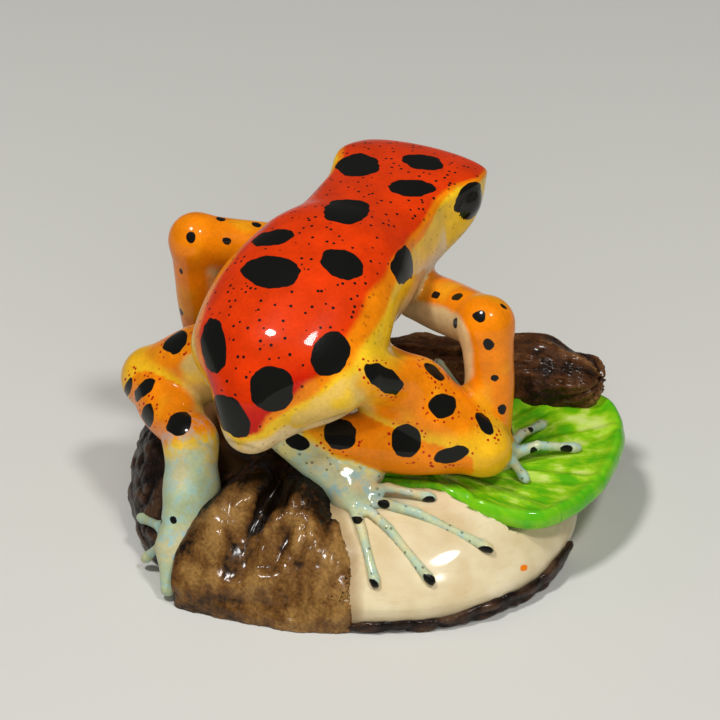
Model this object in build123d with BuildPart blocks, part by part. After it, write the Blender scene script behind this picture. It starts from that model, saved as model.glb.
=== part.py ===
from build123d import *
import math
import os

os.makedirs("parts", exist_ok=True)

# Frog figurine on a carved nut base
# Millimetres, +Z up, origin at the centre of the underside
# The frog looks along -Y, so its left side is +X

# Driving dimensions
base_width = 48.0
base_depth = 46.6
base_height = 9.6
frog_rise = 24.0
body_half_width = 10.2
body_half_height = 7.8
eye_radius = 2.4
eye_bulge = 0.7
thigh_radius = 4.1
shank_radius = 3.2
upper_arm_radius = 2.8
forearm_radius = 2.5
palm_radius = 1.7
instep_radius = 2.6
finger_radius = 0.75
toe_radius = 0.75
pad_radius = 0.95
skin_thickness = 1.1
rim_height = 2.6
side_skin_height = 8.8
leaf_thickness = 1.6
leaf_rim_height = 0.6
leaf_rim_width = 1.5
vein_half_width = 0.6
vein_height = 0.3
log_radius = 4.7
lobe_half_width = 9.0
lobe_height = 11.5
groove_radius = 0.7
digit_lift = 0.9


# Places in plan are shares of the half width and half depth of the base
# Heights are shares of the base height, or of the frog's rise above it
def on_base(x_share, y_share, height_share):
    """A place on the base."""
    return Vector(
        x_share * base_width / 2,
        y_share * base_depth / 2,
        height_share * base_height,
    )


def on_frog(x_share, y_share, rise_share):
    """A place on the frog."""
    return Vector(
        x_share * base_width / 2,
        y_share * base_depth / 2,
        base_height + rise_share * frog_rise,
    )


def limb(start, end, near_radius, belly_radius, far_radius, belly_share=0.4):
    """A muscle between two places: round ends and one belly, turned about its own line."""
    reach = end - start
    length = reach.length
    along = Plane(origin=start, x_dir=reach, z_dir=reach.cross(Vector(0, 0, 1)))
    with BuildPart() as muscle:
        with BuildSketch(along):
            with BuildLine():
                CenterArc((0, 0), near_radius, 90, 90)
                Spline(
                    (0, near_radius),
                    (belly_share * length, belly_radius),
                    (length, far_radius),
                    tangents=((1, 0), (1, 0)),
                )
                CenterArc((length, 0), far_radius, 0, 90)
                Line((length + far_radius, 0), (-near_radius, 0))
            make_face()
        revolve(axis=Axis(start, reach))
    return muscle.part


def bar(path, radii, side_count):
    """A carved bar with flat sides through a row of places, with its radius at each."""
    with BuildPart() as strip:
        for turn, (place, radius) in enumerate(zip(path, radii)):
            before = path[max(turn - 1, 0)]
            after = path[min(turn + 1, len(path) - 1)]
            along = after - before
            with BuildSketch(Plane(origin=place, x_dir=along.cross(Vector(0, 0, 1)), z_dir=along)):
                RegularPolygon(radius, side_count)
        loft(ruled=True)
    return strip.part


# Nut levels: height, middle in plan, reach to the left, the rump side, the right and the front
nut_level_shares = [
    (0.0, 0.08, 0.08, 0.88, 0.84, 0.97, 0.98),
    (0.27, 0.08, 0.08, 0.91, 0.86, 1.00, 1.02),
    (0.57, 0.10, 0.06, 0.89, 0.76, 0.96, 0.98),
    (0.83, 0.13, 0.03, 0.82, 0.62, 0.88, 0.92),
    (1.0, 0.18, 0.00, 0.68, 0.46, 0.66, 0.80),
]


def nut_shape(growth):
    """The nut's rounded block, grown outward by a skin's thickness."""
    with BuildPart() as block:
        for height, x_share, y_share, left, rump, right, front in nut_level_shares:
            middle = on_base(x_share, y_share, height)
            left_reach = left * base_width / 2 + growth
            right_reach = right * base_width / 2 + growth
            rump_reach = rump * base_depth / 2 + growth
            front_reach = front * base_depth / 2 + growth
            with BuildSketch(Plane(middle)):
                with BuildLine():
                    EllipticalCenterArc((0, 0), left_reach, rump_reach, 0)
                    EllipticalCenterArc((0, 0), right_reach, rump_reach, 90)
                    EllipticalCenterArc((0, 0), right_reach, front_reach, 180)
                    EllipticalCenterArc((0, 0), left_reach, front_reach, 270)
                make_face()
        loft()
    return block.part


def sector(start_angle, end_angle, height):
    """A wedge of the base between two angles in plan, up to a height."""
    middle_angle = (start_angle + end_angle) / 2
    with BuildPart() as wedge:
        with BuildSketch():
            with BuildLine():
                corners = [(0, 0)]
                for angle in (start_angle, middle_angle, end_angle):
                    corners.append(
                        (
                            base_width * math.cos(math.radians(angle)),
                            base_width * math.sin(math.radians(angle)),
                        )
                    )
                Polyline(*corners, close=True)
            make_face()
        extrude(amount=height)
    return wedge.part


# Leaf plane: it lies on a flat seat cut in the nut and dips outward
leaf_middle = on_base(-0.60, -0.25, 0.77)
leaf_tilt_x = 5.0
leaf_tilt_y = 2.0
leaf_under = Plane(
    origin=leaf_middle,
    x_dir=(1, 0, math.tan(math.radians(leaf_tilt_x))),
    z_dir=(-math.tan(math.radians(leaf_tilt_x)), math.tan(math.radians(leaf_tilt_y)), 1),
)
leaf_edge_shares = [
    (-0.13, 0.31),
    (-0.24, 0.06),
    (-0.30, -0.26),
    (-0.42, -0.58),
    (-0.60, -0.76),
    (-0.80, -0.77),
    (-0.95, -0.54),
    (-1.00, -0.17),
    (-0.90, 0.17),
    (-0.66, 0.27),
    (-0.42, 0.25),
    (-0.22, 0.34),
]
leaf_edge = [
    (x * base_width / 2 - leaf_middle.X, y * base_depth / 2 - leaf_middle.Y)
    for x, y in leaf_edge_shares
]

leaf_inner_edge = [
    (x * (1 - leaf_rim_width / math.hypot(x, y)), y * (1 - leaf_rim_width / math.hypot(x, y)))
    for x, y in leaf_edge
]

# Nut core: cream block with the leaf's seat cut away
with BuildPart() as nut_core:
    add(nut_shape(0))
    with BuildSketch(leaf_under):
        with BuildLine():
            Spline(*leaf_edge, periodic=True)
        make_face()
    extrude(amount=base_height, mode=Mode.SUBTRACT)

# Bark lobe: a grooved lump from under the rump down to the ground
# Stations: middle along X and Y, half width, height
lobe_turn = 12.0
lobe_station_shares = [
    (0.22, 0.20, 0.52, 0.97),
    (0.18, 0.52, 0.68, 0.93),
    (0.13, 0.74, 0.88, 0.76),
    (0.09, 0.88, 1.03, 0.53),
    (0.06, 0.95, 1.03, 0.34),
    (0.05, 1.00, 0.80, 0.12),
]
lobe_down = Vector(-math.sin(math.radians(lobe_turn)), math.cos(math.radians(lobe_turn)), 0)
lobe_across = Vector(math.cos(math.radians(lobe_turn)), math.sin(math.radians(lobe_turn)), 0)
lobe_shoulder_share = 0.65
groove_sides = 4
groove_end_share = 0.5

# Grooves of the lobe: place across it and down the base at both ends, width
lobe_groove_shares = [
    (0.27, 0.70, 0.25, 0.95, 1.8),
    (0.16, 0.50, 0.02, 0.78, 1.2),
    (-0.38, 0.66, -0.10, 0.90, 1.2),
    (-0.66, 0.60, -0.60, 0.92, 0.9),
    (0.74, 0.76, 0.66, 0.94, 1.0),
]


def lobe_top(side_share, y_share):
    """A place on the lobe's crown, between two of its stations."""
    for near, far in zip(lobe_station_shares, lobe_station_shares[1:]):
        if near[1] <= y_share <= far[1]:
            past_share = (y_share - near[1]) / (far[1] - near[1])
            middle_share, y, width_share, height_share = [
                a + past_share * (b - a) for a, b in zip(near, far)
            ]
    crown_share = math.sqrt(1 - side_share**2) * (1 - lobe_shoulder_share)
    height = height_share * lobe_height * (lobe_shoulder_share + crown_share)
    across = lobe_across * (side_share * width_share * lobe_half_width)
    return on_base(middle_share, y_share, 0) + across + Vector(0, 0, height)


with BuildPart() as bark_lobe:
    for x_share, y_share, width_share, height_share in lobe_station_shares:
        half_width = width_share * lobe_half_width
        height = height_share * lobe_height
        middle = on_base(x_share, y_share, 0)
        with BuildSketch(Plane(origin=middle, x_dir=lobe_across, z_dir=-lobe_down)):
            with BuildLine():
                shoulder = lobe_shoulder_share * height
                crown = height - shoulder
                Line((half_width, 0), (half_width, shoulder))
                EllipticalCenterArc((0, shoulder), half_width, crown, 0, arc_size=180)
                Polyline((-half_width, shoulder), (-half_width, 0), (half_width, 0))
            make_face()
    loft()
    for start_side, start_y, end_side, end_y, width in lobe_groove_shares:
        bed = [
            lobe_top(start_side, start_y),
            lobe_top((start_side + end_side) / 2, (start_y + end_y) / 2),
            lobe_top(end_side, end_y),
        ]
        middle_radius = width * groove_radius
        end_radius = groove_end_share * middle_radius
        add(bar(bed, [end_radius, middle_radius, end_radius], groove_sides), mode=Mode.SUBTRACT)
    add(nut_core.part, mode=Mode.SUBTRACT)

# Bark ridge: a wavy log along the rear edge with long grooves
log_start = on_base(0.28, -0.72, 0.66)
log_end = on_base(-0.63, -0.73, 1.16)
log_reach = log_end - log_start
log_swell_shares = [
    (0.0, 0.62),
    (0.20, 0.80),
    (0.40, 0.80),
    (0.62, 0.95),
    (0.84, 0.96),
    (1.0, 0.64),
]
groove_angles = [42.0, 78.0, 114.0, 150.0]
log_along = Plane(origin=log_start, x_dir=log_reach, z_dir=log_reach.cross(Vector(0, 0, 1)))
with BuildPart() as bark_ridge:
    with BuildSketch(log_along):
        with BuildLine():
            swell_line = [
                (x * log_reach.length, swell * log_radius) for x, swell in log_swell_shares
            ]
            near_radius = swell_line[0][1]
            far_radius = swell_line[-1][1]
            CenterArc((0, 0), near_radius, 90, 90)
            Spline(*swell_line, tangents=((1, 0), (1, 0)))
            CenterArc((log_reach.length, 0), far_radius, 0, 90)
            Line((log_reach.length + far_radius, 0), (-near_radius, 0))
        make_face()
    revolve(axis=Axis(log_start, log_reach))
    for angle in groove_angles:
        side = log_along.x_dir.cross(Vector(0, 0, 1))
        out = side * math.cos(math.radians(angle)) + Vector(0, 0, 1) * math.sin(math.radians(angle))
        bed = [
            log_start + log_reach * x + out * swell * log_radius
            for x, swell in log_swell_shares[:-1]
        ]
        add(bar(bed, [groove_radius] * len(bed), groove_sides), mode=Mode.SUBTRACT)
    add(nut_core.part, mode=Mode.SUBTRACT)

# Nut skin: dark shell left on the front right edge and on the left side wall
rim_start_angle = 106.0
rim_end_angle = 183.0
side_start_angle = -38.0
side_end_angle = 52.0
with BuildPart() as nut_skin_rim:
    add(nut_shape(skin_thickness))
    add(sector(rim_start_angle, rim_end_angle, rim_height), mode=Mode.INTERSECT)
    add(nut_core.part, mode=Mode.SUBTRACT)
    add(bark_lobe.part, mode=Mode.SUBTRACT)
with BuildPart() as nut_skin_side:
    add(nut_shape(skin_thickness))
    add(sector(side_start_angle, side_end_angle, side_skin_height), mode=Mode.INTERSECT)
    add(nut_core.part, mode=Mode.SUBTRACT)
    add(bark_lobe.part, mode=Mode.SUBTRACT)
    add(bark_ridge.part, mode=Mode.SUBTRACT)

# Leaf: a flat pad with a raised rim and veins fanning from its stalk end
vein_root_shares = (-0.30, 0.10)
vein_tip_shares = [(-0.60, -0.70), (-0.86, -0.58), (-0.94, -0.20), (-0.82, 0.10), (-0.55, 0.20)]
with BuildPart() as leaf:
    with BuildSketch(leaf_under):
        with BuildLine():
            Spline(*leaf_edge, periodic=True)
        make_face()
    extrude(amount=leaf_thickness)
    with BuildSketch(leaf_under.offset(leaf_thickness)):
        with BuildLine():
            Spline(*leaf_edge, periodic=True)
        make_face()
        with BuildLine():
            Spline(*leaf_inner_edge, periodic=True)
        make_face(mode=Mode.SUBTRACT)
    extrude(amount=leaf_rim_height)
    with BuildSketch(leaf_under.offset(leaf_thickness)):
        root_x = vein_root_shares[0] * base_width / 2 - leaf_middle.X
        root_y = vein_root_shares[1] * base_depth / 2 - leaf_middle.Y
        for x_share, y_share in vein_tip_shares:
            tip_x = x_share * base_width / 2 - leaf_middle.X
            tip_y = y_share * base_depth / 2 - leaf_middle.Y
            length = math.hypot(tip_x - root_x, tip_y - root_y)
            side_x = -(tip_y - root_y) / length * vein_half_width
            side_y = (tip_x - root_x) / length * vein_half_width
            with BuildLine():
                Polyline(
                    (root_x + side_x, root_y + side_y),
                    (tip_x, tip_y),
                    (root_x - side_x, root_y - side_y),
                    close=True,
                )
            make_face()
    extrude(amount=vein_height)
    add(bark_ridge.part, mode=Mode.SUBTRACT)

# Torso and head are one swelling form, cut at the neck
# Stations: place along X and Y, rise, half width, height above the middle line and below it
# The last share is the upright part of each side, just under the widest line
body_station_shares = [
    (0.21, 0.76, 0.33, 0.25, 0.22, 0.25, 0.08),
    (0.21, 0.68, 0.42, 0.62, 0.62, 0.60, 0.08),
    (0.21, 0.48, 0.54, 0.92, 0.95, 0.90, 0.08),
    (0.21, 0.22, 0.64, 1.00, 1.00, 1.00, 0.08),
    (0.21, -0.06, 0.71, 0.87, 0.95, 0.97, 0.08),
    (0.20, -0.30, 0.79, 0.68, 0.66, 1.05, 0.20),
    (0.19, -0.50, 0.88, 0.65, 0.32, 1.20, 0.50),
    (0.18, -0.74, 0.92, 0.79, 0.17, 1.05, 0.30),
    (0.18, -0.88, 0.895, 0.73, 0.15, 0.86, 0.25),
    (0.18, -0.96, 0.86, 0.50, 0.13, 0.58, 0.20),
    (0.18, -0.985, 0.85, 0.34, 0.11, 0.40, 0.20),
]
body_middles = [on_frog(*station[:3]) for station in body_station_shares]
neck_turn = 6
with BuildPart() as body:
    for turn, (x, y, rise, width, up, down, wall) in enumerate(body_station_shares):
        before = body_middles[max(turn - 1, 0)]
        after = body_middles[min(turn + 1, len(body_middles) - 1)]
        across = Plane(origin=body_middles[turn], x_dir=(1, 0, 0), z_dir=after - before)
        half_width = width * body_half_width
        drop = down * body_half_height
        wall_foot = -wall * drop
        with BuildSketch(across):
            with BuildLine():
                EllipticalCenterArc((0, 0), half_width, up * body_half_height, 0, arc_size=180)
                Line((-half_width, 0), (-half_width, wall_foot))
                EllipticalCenterArc((0, wall_foot), half_width, drop + wall_foot, 180, arc_size=180)
                Line((half_width, wall_foot), (half_width, 0))
            make_face()
    loft()
neck = Plane(
    origin=body_middles[neck_turn],
    x_dir=(1, 0, 0),
    z_dir=body_middles[neck_turn + 1] - body_middles[neck_turn - 1],
)
with BuildPart() as torso:
    add(body.part)
    split(bisect_by=neck, keep=Keep.BOTTOM)
with BuildPart() as head:
    add(body.part)
    split(bisect_by=neck, keep=Keep.TOP)

# Eyes: low domes in the sides of the head, just under the brow
eye_middle_share = 0.18
eye_reach_share = -0.71
brow_rise_share = 0.915
eye_drop_share = 0.8
eye_side_share = 0.76
eye_sides = {"left_eye": 1, "right_eye": -1}


def eye_dome(name):
    """One eye: the cap of a ball that is sunk in the head's side wall."""
    brow = on_frog(eye_middle_share, eye_reach_share, brow_rise_share)
    reach = eye_side_share * body_half_width + eye_bulge - eye_radius
    out = Vector(eye_sides[name] * reach, 0, -eye_drop_share * eye_radius)
    with BuildPart() as dome:
        with Locations(brow + out):
            Sphere(eye_radius)
        add(head.part, mode=Mode.SUBTRACT)
    return dome.part


# Joints of the limbs
right_hip = on_frog(0.0, 0.20, 0.48)
right_knee = on_frog(-0.55, 0.06, 0.12)
right_ankle = on_frog(0.17, 0.45, 0.20)
right_shoulder = on_frog(0.02, -0.50, 0.44)
right_elbow = on_frog(-0.455, -0.16, 0.59)
right_wrist = on_frog(-0.53, -0.10, 0.05)
left_hip = on_frog(0.42, 0.24, 0.45)
left_knee = on_frog(0.95, 0.26, 0.13)
left_ankle = on_frog(0.56, 0.60, 0.14)
left_shoulder = on_frog(0.40, -0.50, 0.52)
left_elbow = on_frog(0.90, -0.11, 0.68)
left_wrist = on_frog(0.94, -0.24, 0.02)

# Limbs: name, from, to, radius at the belly, shares of it at the two ends, belly's place
limb_specs = [
    ("right_thigh", right_hip, right_knee, thigh_radius, 0.8, 0.68, 0.5),
    ("left_thigh", left_hip, left_knee, thigh_radius, 0.9, 0.72, 0.5),
    ("right_shank", right_knee, right_ankle, shank_radius, 0.8, 0.62, 0.4),
    ("left_shank", left_knee, left_ankle, shank_radius, 0.9, 0.70, 0.4),
    ("right_upper_arm", right_shoulder, right_elbow, upper_arm_radius, 0.95, 0.96, 0.4),
    ("left_upper_arm", left_shoulder, left_elbow, upper_arm_radius, 0.9, 0.95, 0.4),
    ("right_forearm", right_elbow, right_wrist, forearm_radius, 1.08, 0.72, 0.4),
    ("left_forearm", left_elbow, left_wrist, forearm_radius, 1.06, 0.74, 0.4),
]

# Each piece meets its neighbours face to face: in this order, it is cut by these
arm_seats = ["nut_core", "nut_skin_side", "leaf"]
cutters = {
    "right_thigh": ["torso"],
    "left_thigh": ["torso"],
    "right_shank": ["torso", "right_thigh"],
    "left_shank": ["torso", "left_thigh"],
    "right_upper_arm": ["torso", "head", "right_thigh"],
    "left_upper_arm": ["torso", "head", "left_thigh"],
    "right_hand": ["right_thigh", "right_shank", "leaf", "nut_core", "bark_ridge"],
    "left_hand": ["left_thigh", "left_shank", "nut_core", "nut_skin_side"],
    "right_forearm": ["right_upper_arm", "right_hand", "right_thigh", "right_shank", *arm_seats],
    "left_forearm": ["left_upper_arm", "left_hand", "left_thigh", "left_shank", *arm_seats],
    "right_foot": ["torso", "right_shank", "right_thigh", "nut_core", "bark_lobe", "leaf"],
    "left_foot": ["torso", "left_shank", "left_thigh", "nut_core", "nut_skin_side", "bark_lobe"],
}
solids = {
    "nut_core": nut_core.part,
    "bark_lobe": bark_lobe.part,
    "bark_ridge": bark_ridge.part,
    "nut_skin_rim": nut_skin_rim.part,
    "nut_skin_side": nut_skin_side.part,
    "leaf": leaf.part,
    "torso": torso.part,
    "head": head.part,
    "left_eye": eye_dome("left_eye"),
    "right_eye": eye_dome("right_eye"),
}
digit_sides = 8
digit_root_share = 1.3
digit_waist_share = 0.9
digit_end_share = 0.45


def paw(insteps, palm, tips, digit_radius):
    """A hand or foot: tapering insteps and thin arched digits that end in round pads."""
    with BuildPart() as shape:
        for start, start_radius, end, end_radius in insteps:
            middle_radius = (start_radius + end_radius) / 2
            add(limb(start, end, start_radius, middle_radius, end_radius))
        for tip in tips:
            knuckle = (palm + tip) / 2 + Vector(0, 0, digit_lift)
            last = tip - knuckle
            end = tip + last.normalized() * pad_radius
            path = [palm, knuckle, (knuckle + tip) / 2, tip, end]
            radii = [
                digit_radius * digit_root_share,
                digit_radius,
                digit_radius * digit_waist_share,
                pad_radius,
                pad_radius * digit_end_share,
            ]
            add(bar(path, radii, digit_sides))
    return shape.part


hand_root_share = 0.80
ankle_share = 0.85
heel_share = 1.04
sole_share = 0.66
toe_root_share = 0.27
right_palm = on_base(-0.57, -0.08, 1.0)
left_palm = on_base(0.88, -0.30, 0.90)
right_sole = on_base(-0.11, 0.46, 0.98)
left_sole = on_base(0.53, 0.86, 0.42)
left_heel = on_base(0.52, 0.68, 0.90)
left_toe = on_base(0.50, 0.98, 0.10)
web_start = on_frog(-0.07, 0.36, 0.07)

# Paws: insteps, palm, tips of the digits, radius of a digit
paw_specs = {
    "right_hand": (
        [(right_wrist, hand_root_share * forearm_radius, right_palm, palm_radius)],
        right_palm,
        [
            on_base(-0.61, -0.42, 0.98),
            on_base(-0.80, -0.33, 0.95),
            on_base(-0.70, -0.02, 0.96),
            on_base(-0.05, -0.58, 1.15),
        ],
        finger_radius,
    ),
    "left_hand": (
        [(left_wrist, hand_root_share * forearm_radius, left_palm, palm_radius)],
        left_palm,
        [
            on_base(0.62, -0.36, 1.0),
            on_base(0.72, -0.56, 0.92),
            on_base(0.86, -0.50, 0.74),
            on_base(0.99, -0.32, 0.55),
        ],
        finger_radius,
    ),
    "right_foot": (
        [
            (right_ankle, ankle_share * instep_radius, right_sole, palm_radius),
            (web_start, ankle_share * instep_radius, right_sole, palm_radius),
        ],
        right_sole,
        [
            on_base(-0.414, 0.32, 0.96),
            on_base(-0.70, 0.39, 0.64),
            on_base(-0.58, 0.64, 0.50),
            on_base(-0.40, 0.76, 0.49),
        ],
        toe_radius,
    ),
    "left_foot": (
        [
            (left_ankle, instep_radius, left_heel, heel_share * instep_radius),
            (left_heel, heel_share * instep_radius, left_sole, sole_share * instep_radius),
            (left_sole, sole_share * instep_radius, left_toe, toe_root_share * instep_radius),
        ],
        left_sole,
        [
            on_base(0.65, 0.81, 0.26),
            on_base(0.73, 0.71, 0.42),
            on_base(0.73, 0.63, 0.66),
        ],
        toe_radius,
    ),
}
shapes = {}
for name, start, end, radius, near_share, far_share, belly_share in limb_specs:
    shapes[name] = limb(
        start, end, near_share * radius, radius, far_share * radius, belly_share
    )
for name, (insteps, palm, tips, digit_radius) in paw_specs.items():
    shapes[name] = paw(insteps, palm, tips, digit_radius)
for name, cutting in cutters.items():
    with BuildPart() as shape:
        add(shapes[name])
        for cutter in cutting:
            add(solids[cutter], mode=Mode.SUBTRACT)
    solids[name] = shape.part

for name, solid in solids.items():
    solid.label = name
    export_step(solid, f"parts/{name}.step")
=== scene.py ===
import functools
import itertools
import math

import bpy
import numpy as np
from mathutils import Matrix, Vector


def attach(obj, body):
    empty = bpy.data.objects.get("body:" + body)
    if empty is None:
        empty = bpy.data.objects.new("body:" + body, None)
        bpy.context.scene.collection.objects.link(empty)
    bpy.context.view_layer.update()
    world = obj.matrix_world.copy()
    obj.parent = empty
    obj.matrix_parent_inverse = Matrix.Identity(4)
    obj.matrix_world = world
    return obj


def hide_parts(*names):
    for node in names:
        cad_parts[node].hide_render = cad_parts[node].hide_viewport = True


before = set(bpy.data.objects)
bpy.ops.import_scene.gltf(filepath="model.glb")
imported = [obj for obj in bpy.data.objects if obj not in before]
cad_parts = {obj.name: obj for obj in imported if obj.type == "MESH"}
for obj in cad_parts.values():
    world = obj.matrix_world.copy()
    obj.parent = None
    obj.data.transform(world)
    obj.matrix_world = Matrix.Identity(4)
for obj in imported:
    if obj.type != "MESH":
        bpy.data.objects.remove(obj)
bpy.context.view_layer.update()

# Shapes are worked out in millimetres and turned to metres when a mesh is made
# The frog looks along -Y, so its left side is +X
MM = 0.001
DRAFT_CELL_SHARE = 1.0

# Driving sizes, the same as the solids have
BASE_WIDTH = 48.0
BASE_DEPTH = 46.6
BASE_HEIGHT = 9.6
FROG_RISE = 24.0
BODY_HALF_WIDTH = 10.2
BODY_HALF_HEIGHT = 7.8
EYE_RADIUS = 2.4
EYE_BULGE = 0.7
THIGH_RADIUS = 4.1
SHANK_RADIUS = 3.2
UPPER_ARM_RADIUS = 2.8
FOREARM_RADIUS = 2.5
PALM_RADIUS = 1.5
INSTEP_RADIUS = 2.6
DIGIT_RADIUS = 0.5
PAD_RADIUS = 0.8
DIGIT_LIFT = 0.9
SKIN_THICKNESS = 1.1
RIM_HEIGHT = 2.6
SIDE_SKIN_HEIGHT = 8.8
LEAF_THICKNESS = 1.6
LEAF_RIM_HEIGHT = 0.6
LEAF_RIM_WIDTH = 1.5
LOG_RADIUS = 4.7
LOBE_HALF_WIDTH = 9.0
LOBE_HEIGHT = 11.5

# Camera: the photograph's angle, its distance and its scale at the figurine
PHOTO_SIZE = 720
CAMERA_AZIMUTH = 206.5
CAMERA_ELEVATION = 31.0
CAMERA_DISTANCE = 380.0
PX_PER_MM = 9.6
BASE_CENTRE_PX = (372, 513)
SENSOR_WIDTH = 36.0

azimuth = math.radians(CAMERA_AZIMUTH)
elevation = math.radians(CAMERA_ELEVATION)
level_back = math.cos(elevation)
BACK = np.array(
    (math.sin(azimuth) * level_back, -math.cos(azimuth) * level_back, math.sin(elevation))
)
RIGHT = np.array((math.cos(azimuth), math.sin(azimuth), 0.0))
UP = np.cross(BACK, RIGHT)
FOCAL_PX = PX_PER_MM * CAMERA_DISTANCE
left_px, up_px = (place - PHOTO_SIZE / 2 for place in BASE_CENTRE_PX)
EYE_POINT = (UP * up_px - RIGHT * left_px) / PX_PER_MM + CAMERA_DISTANCE * BACK

# Sight lines start short of the figurine and close in on a surface
SIGHT_START = CAMERA_DISTANCE - 1.2 * BASE_WIDTH
SIGHT_STEPS = 90
SIGHT_STEP_SHARE = 0.7


def length(vectors):
    return np.linalg.norm(vectors, axis=-1)


def unit(vectors):
    return vectors / np.maximum(np.linalg.norm(vectors, axis=-1, keepdims=True), 1e-9)


def to_pixels(points):
    """Where points land in the photograph."""
    seen = points - EYE_POINT
    scale = FOCAL_PX / (seen @ BACK)
    return PHOTO_SIZE / 2 + np.column_stack((-scale * (seen @ RIGHT), scale * (seen @ UP)))


def hits(field, pixels):
    """Where the sight lines through these pixels meet a surface."""
    off_centre = (np.asarray(pixels, float) - PHOTO_SIZE / 2) / FOCAL_PX
    sight = unit(-BACK + off_centre[:, :1] * RIGHT - off_centre[:, 1:] * UP)
    reach = np.full(len(sight), SIGHT_START)
    for step in range(SIGHT_STEPS):
        reach += SIGHT_STEP_SHARE * field(EYE_POINT + reach[:, None] * sight)
    return EYE_POINT + reach[:, None] * sight


# Places: shares of the base's half width and half depth, and a height
def at_shares(x_share, y_share, height):
    return np.array((x_share * BASE_WIDTH / 2, y_share * BASE_DEPTH / 2, height))


def on_base(x_share, y_share, height_share):
    return at_shares(x_share, y_share, height_share * BASE_HEIGHT)


def on_frog(x_share, y_share, rise_share):
    return at_shares(x_share, y_share, BASE_HEIGHT + rise_share * FROG_RISE)


# Smooth random values
LATTICE_SIDE = 32
LATTICE = np.random.default_rng(7).random((LATTICE_SIDE,) * 3)
CORNERS = list(itertools.product((0, 1), repeat=3))


def noise(points, size):
    """Smooth random values from -1 to 1 that change over about this size."""
    spot = points / size
    cell = np.floor(spot).astype(int)
    part = spot - cell
    part = part * part * (3 - 2 * part)
    total = 0
    for corner in CORNERS:
        weight = np.prod(np.where(corner, part, 1 - part), axis=1)
        total = total + weight * LATTICE[tuple((cell + corner).T % LATTICE_SIDE)]
    return 2 * total - 1


def ridged(points, size, octaves=2):
    """Noise with sharp valleys: 0 in a valley and up to 1 on a crest."""
    total = 0
    for octave in range(octaves):
        total = total + np.abs(noise(points + 13.7 * octave, size / 2**octave)) / 2**octave
    return np.clip(total, 0, 1)


def ease(share):
    share = np.clip(share, 0, 1)
    return share * share * (3 - 2 * share)


def within(values, start, end):
    """0 before start, 1 after end, eased between."""
    return ease((values - start) / (end - start))


def bell(gaps, width):
    """1 where the gap is nothing, falling off over this width."""
    return np.exp(-((gaps / width) ** 2))


def smooth_curves(places, *rows, samples=400):
    """Rising places sampled finely, then a monotone cubic through each row of values."""
    places = np.asarray(places, float)
    gaps = np.diff(places)
    fine = np.linspace(places[0], places[-1], samples)
    turn = np.clip(np.searchsorted(places, fine, side="right") - 1, 0, len(places) - 2)
    part = (fine - places[turn]) / gaps[turn]
    start_weight = 2 * part**3 - 3 * part**2 + 1
    curves = [fine]
    for values in np.asarray(rows, float):
        slopes = np.diff(values) / gaps
        product = slopes[:-1] * slopes[1:]
        inner = product > 0
        tangents = np.zeros(len(places))
        tangents[0], tangents[-1] = slopes[0], slopes[-1]
        tangents[1:-1][inner] = 2 * product[inner] / (slopes[:-1] + slopes[1:])[inner]
        curves.append(
            start_weight * values[turn]
            + (1 - start_weight) * values[turn + 1]
            + (part**3 - 2 * part**2 + part) * gaps[turn] * tangents[turn]
            + (part**3 - part**2) * gaps[turn] * tangents[turn + 1]
        )
    return curves


# Fields: signed distances to surfaces, negative inside
def blend(first, second, softness):
    """The two surfaces joined with a soft fillet."""
    share = np.clip(0.5 + 0.5 * (second - first) / softness, 0, 1)
    return second + (first - second) * share - softness * share * (1 - share)


def blend_all(gaps, softness):
    return functools.reduce(lambda first, second: blend(first, second, softness), gaps)


def carve(first, second, softness):
    """What the two surfaces share, with a soft edge."""
    return -blend(-first, -second, softness)


def from_line(points, start, end):
    """The distance to a straight line between two places, and the share of the way along."""
    along = end - start
    share = np.clip((points - start) @ along / (along @ along), 0, 1)
    return length(points - start - share[:, None] * along), share


CULL_GAP = 2.5
CULL_MARGIN = 0.5


def culled(points, places, reach, exact):
    """An exact distance near some places, and a safe lower bound far from them."""
    low = np.min(places, axis=0) - reach
    high = np.max(places, axis=0) + reach
    far = length(np.maximum(np.maximum(low - points, points - high), 0))
    close = far < CULL_GAP
    result = far + CULL_MARGIN
    if close.any():
        result[close] = exact(points[close])
    return result


CHAIN_SOFTNESS = 0.15


def chain(points, places, radii):
    """A row of balls joined by cones."""

    def exact(near):
        cones = []
        for start, end, start_radius, end_radius in zip(places, places[1:], radii, radii[1:]):
            gap, share = from_line(near, start, end)
            cones.append(gap - start_radius - (end_radius - start_radius) * share)
        return blend_all(cones, CHAIN_SOFTNESS)

    return culled(points, places, max(radii), exact)


# Body: a swelling form along a bent middle line
# Stations: place along X and Y, rise, half width, height above and below,
# the upright part of each side below the widest line, squareness of the top
BODY_STATION_SHARES = np.array(
    [
        (0.21, 0.80, 0.29, 0.00, 0.00, 0.00, 0.08, 2.0),
        (0.21, 0.765, 0.33, 0.30, 0.28, 0.30, 0.08, 2.0),
        (0.21, 0.68, 0.42, 0.62, 0.62, 0.60, 0.08, 2.0),
        (0.21, 0.48, 0.54, 0.92, 0.95, 0.90, 0.08, 2.0),
        (0.21, 0.22, 0.64, 1.00, 1.00, 1.00, 0.08, 2.1),
        (0.21, -0.06, 0.71, 0.87, 0.95, 0.97, 0.08, 2.2),
        (0.20, -0.30, 0.79, 0.68, 0.65, 1.05, 0.20, 2.3),
        (0.19, -0.50, 0.88, 0.65, 0.305, 1.20, 0.50, 2.2),
        (0.18, -0.74, 0.917, 0.79, 0.16, 1.05, 0.30, 2.0),
        (0.18, -0.88, 0.895, 0.73, 0.15, 0.86, 0.25, 2.0),
        (0.18, -0.96, 0.86, 0.50, 0.13, 0.58, 0.20, 2.0),
        (0.18, -0.992, 0.835, 0.00, 0.00, 0.00, 0.20, 2.0),
    ]
)
NECK_STATION = 7
HEADING_SAMPLES = 41
RUN_STEPS = 3
THINNEST = 0.05

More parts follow.
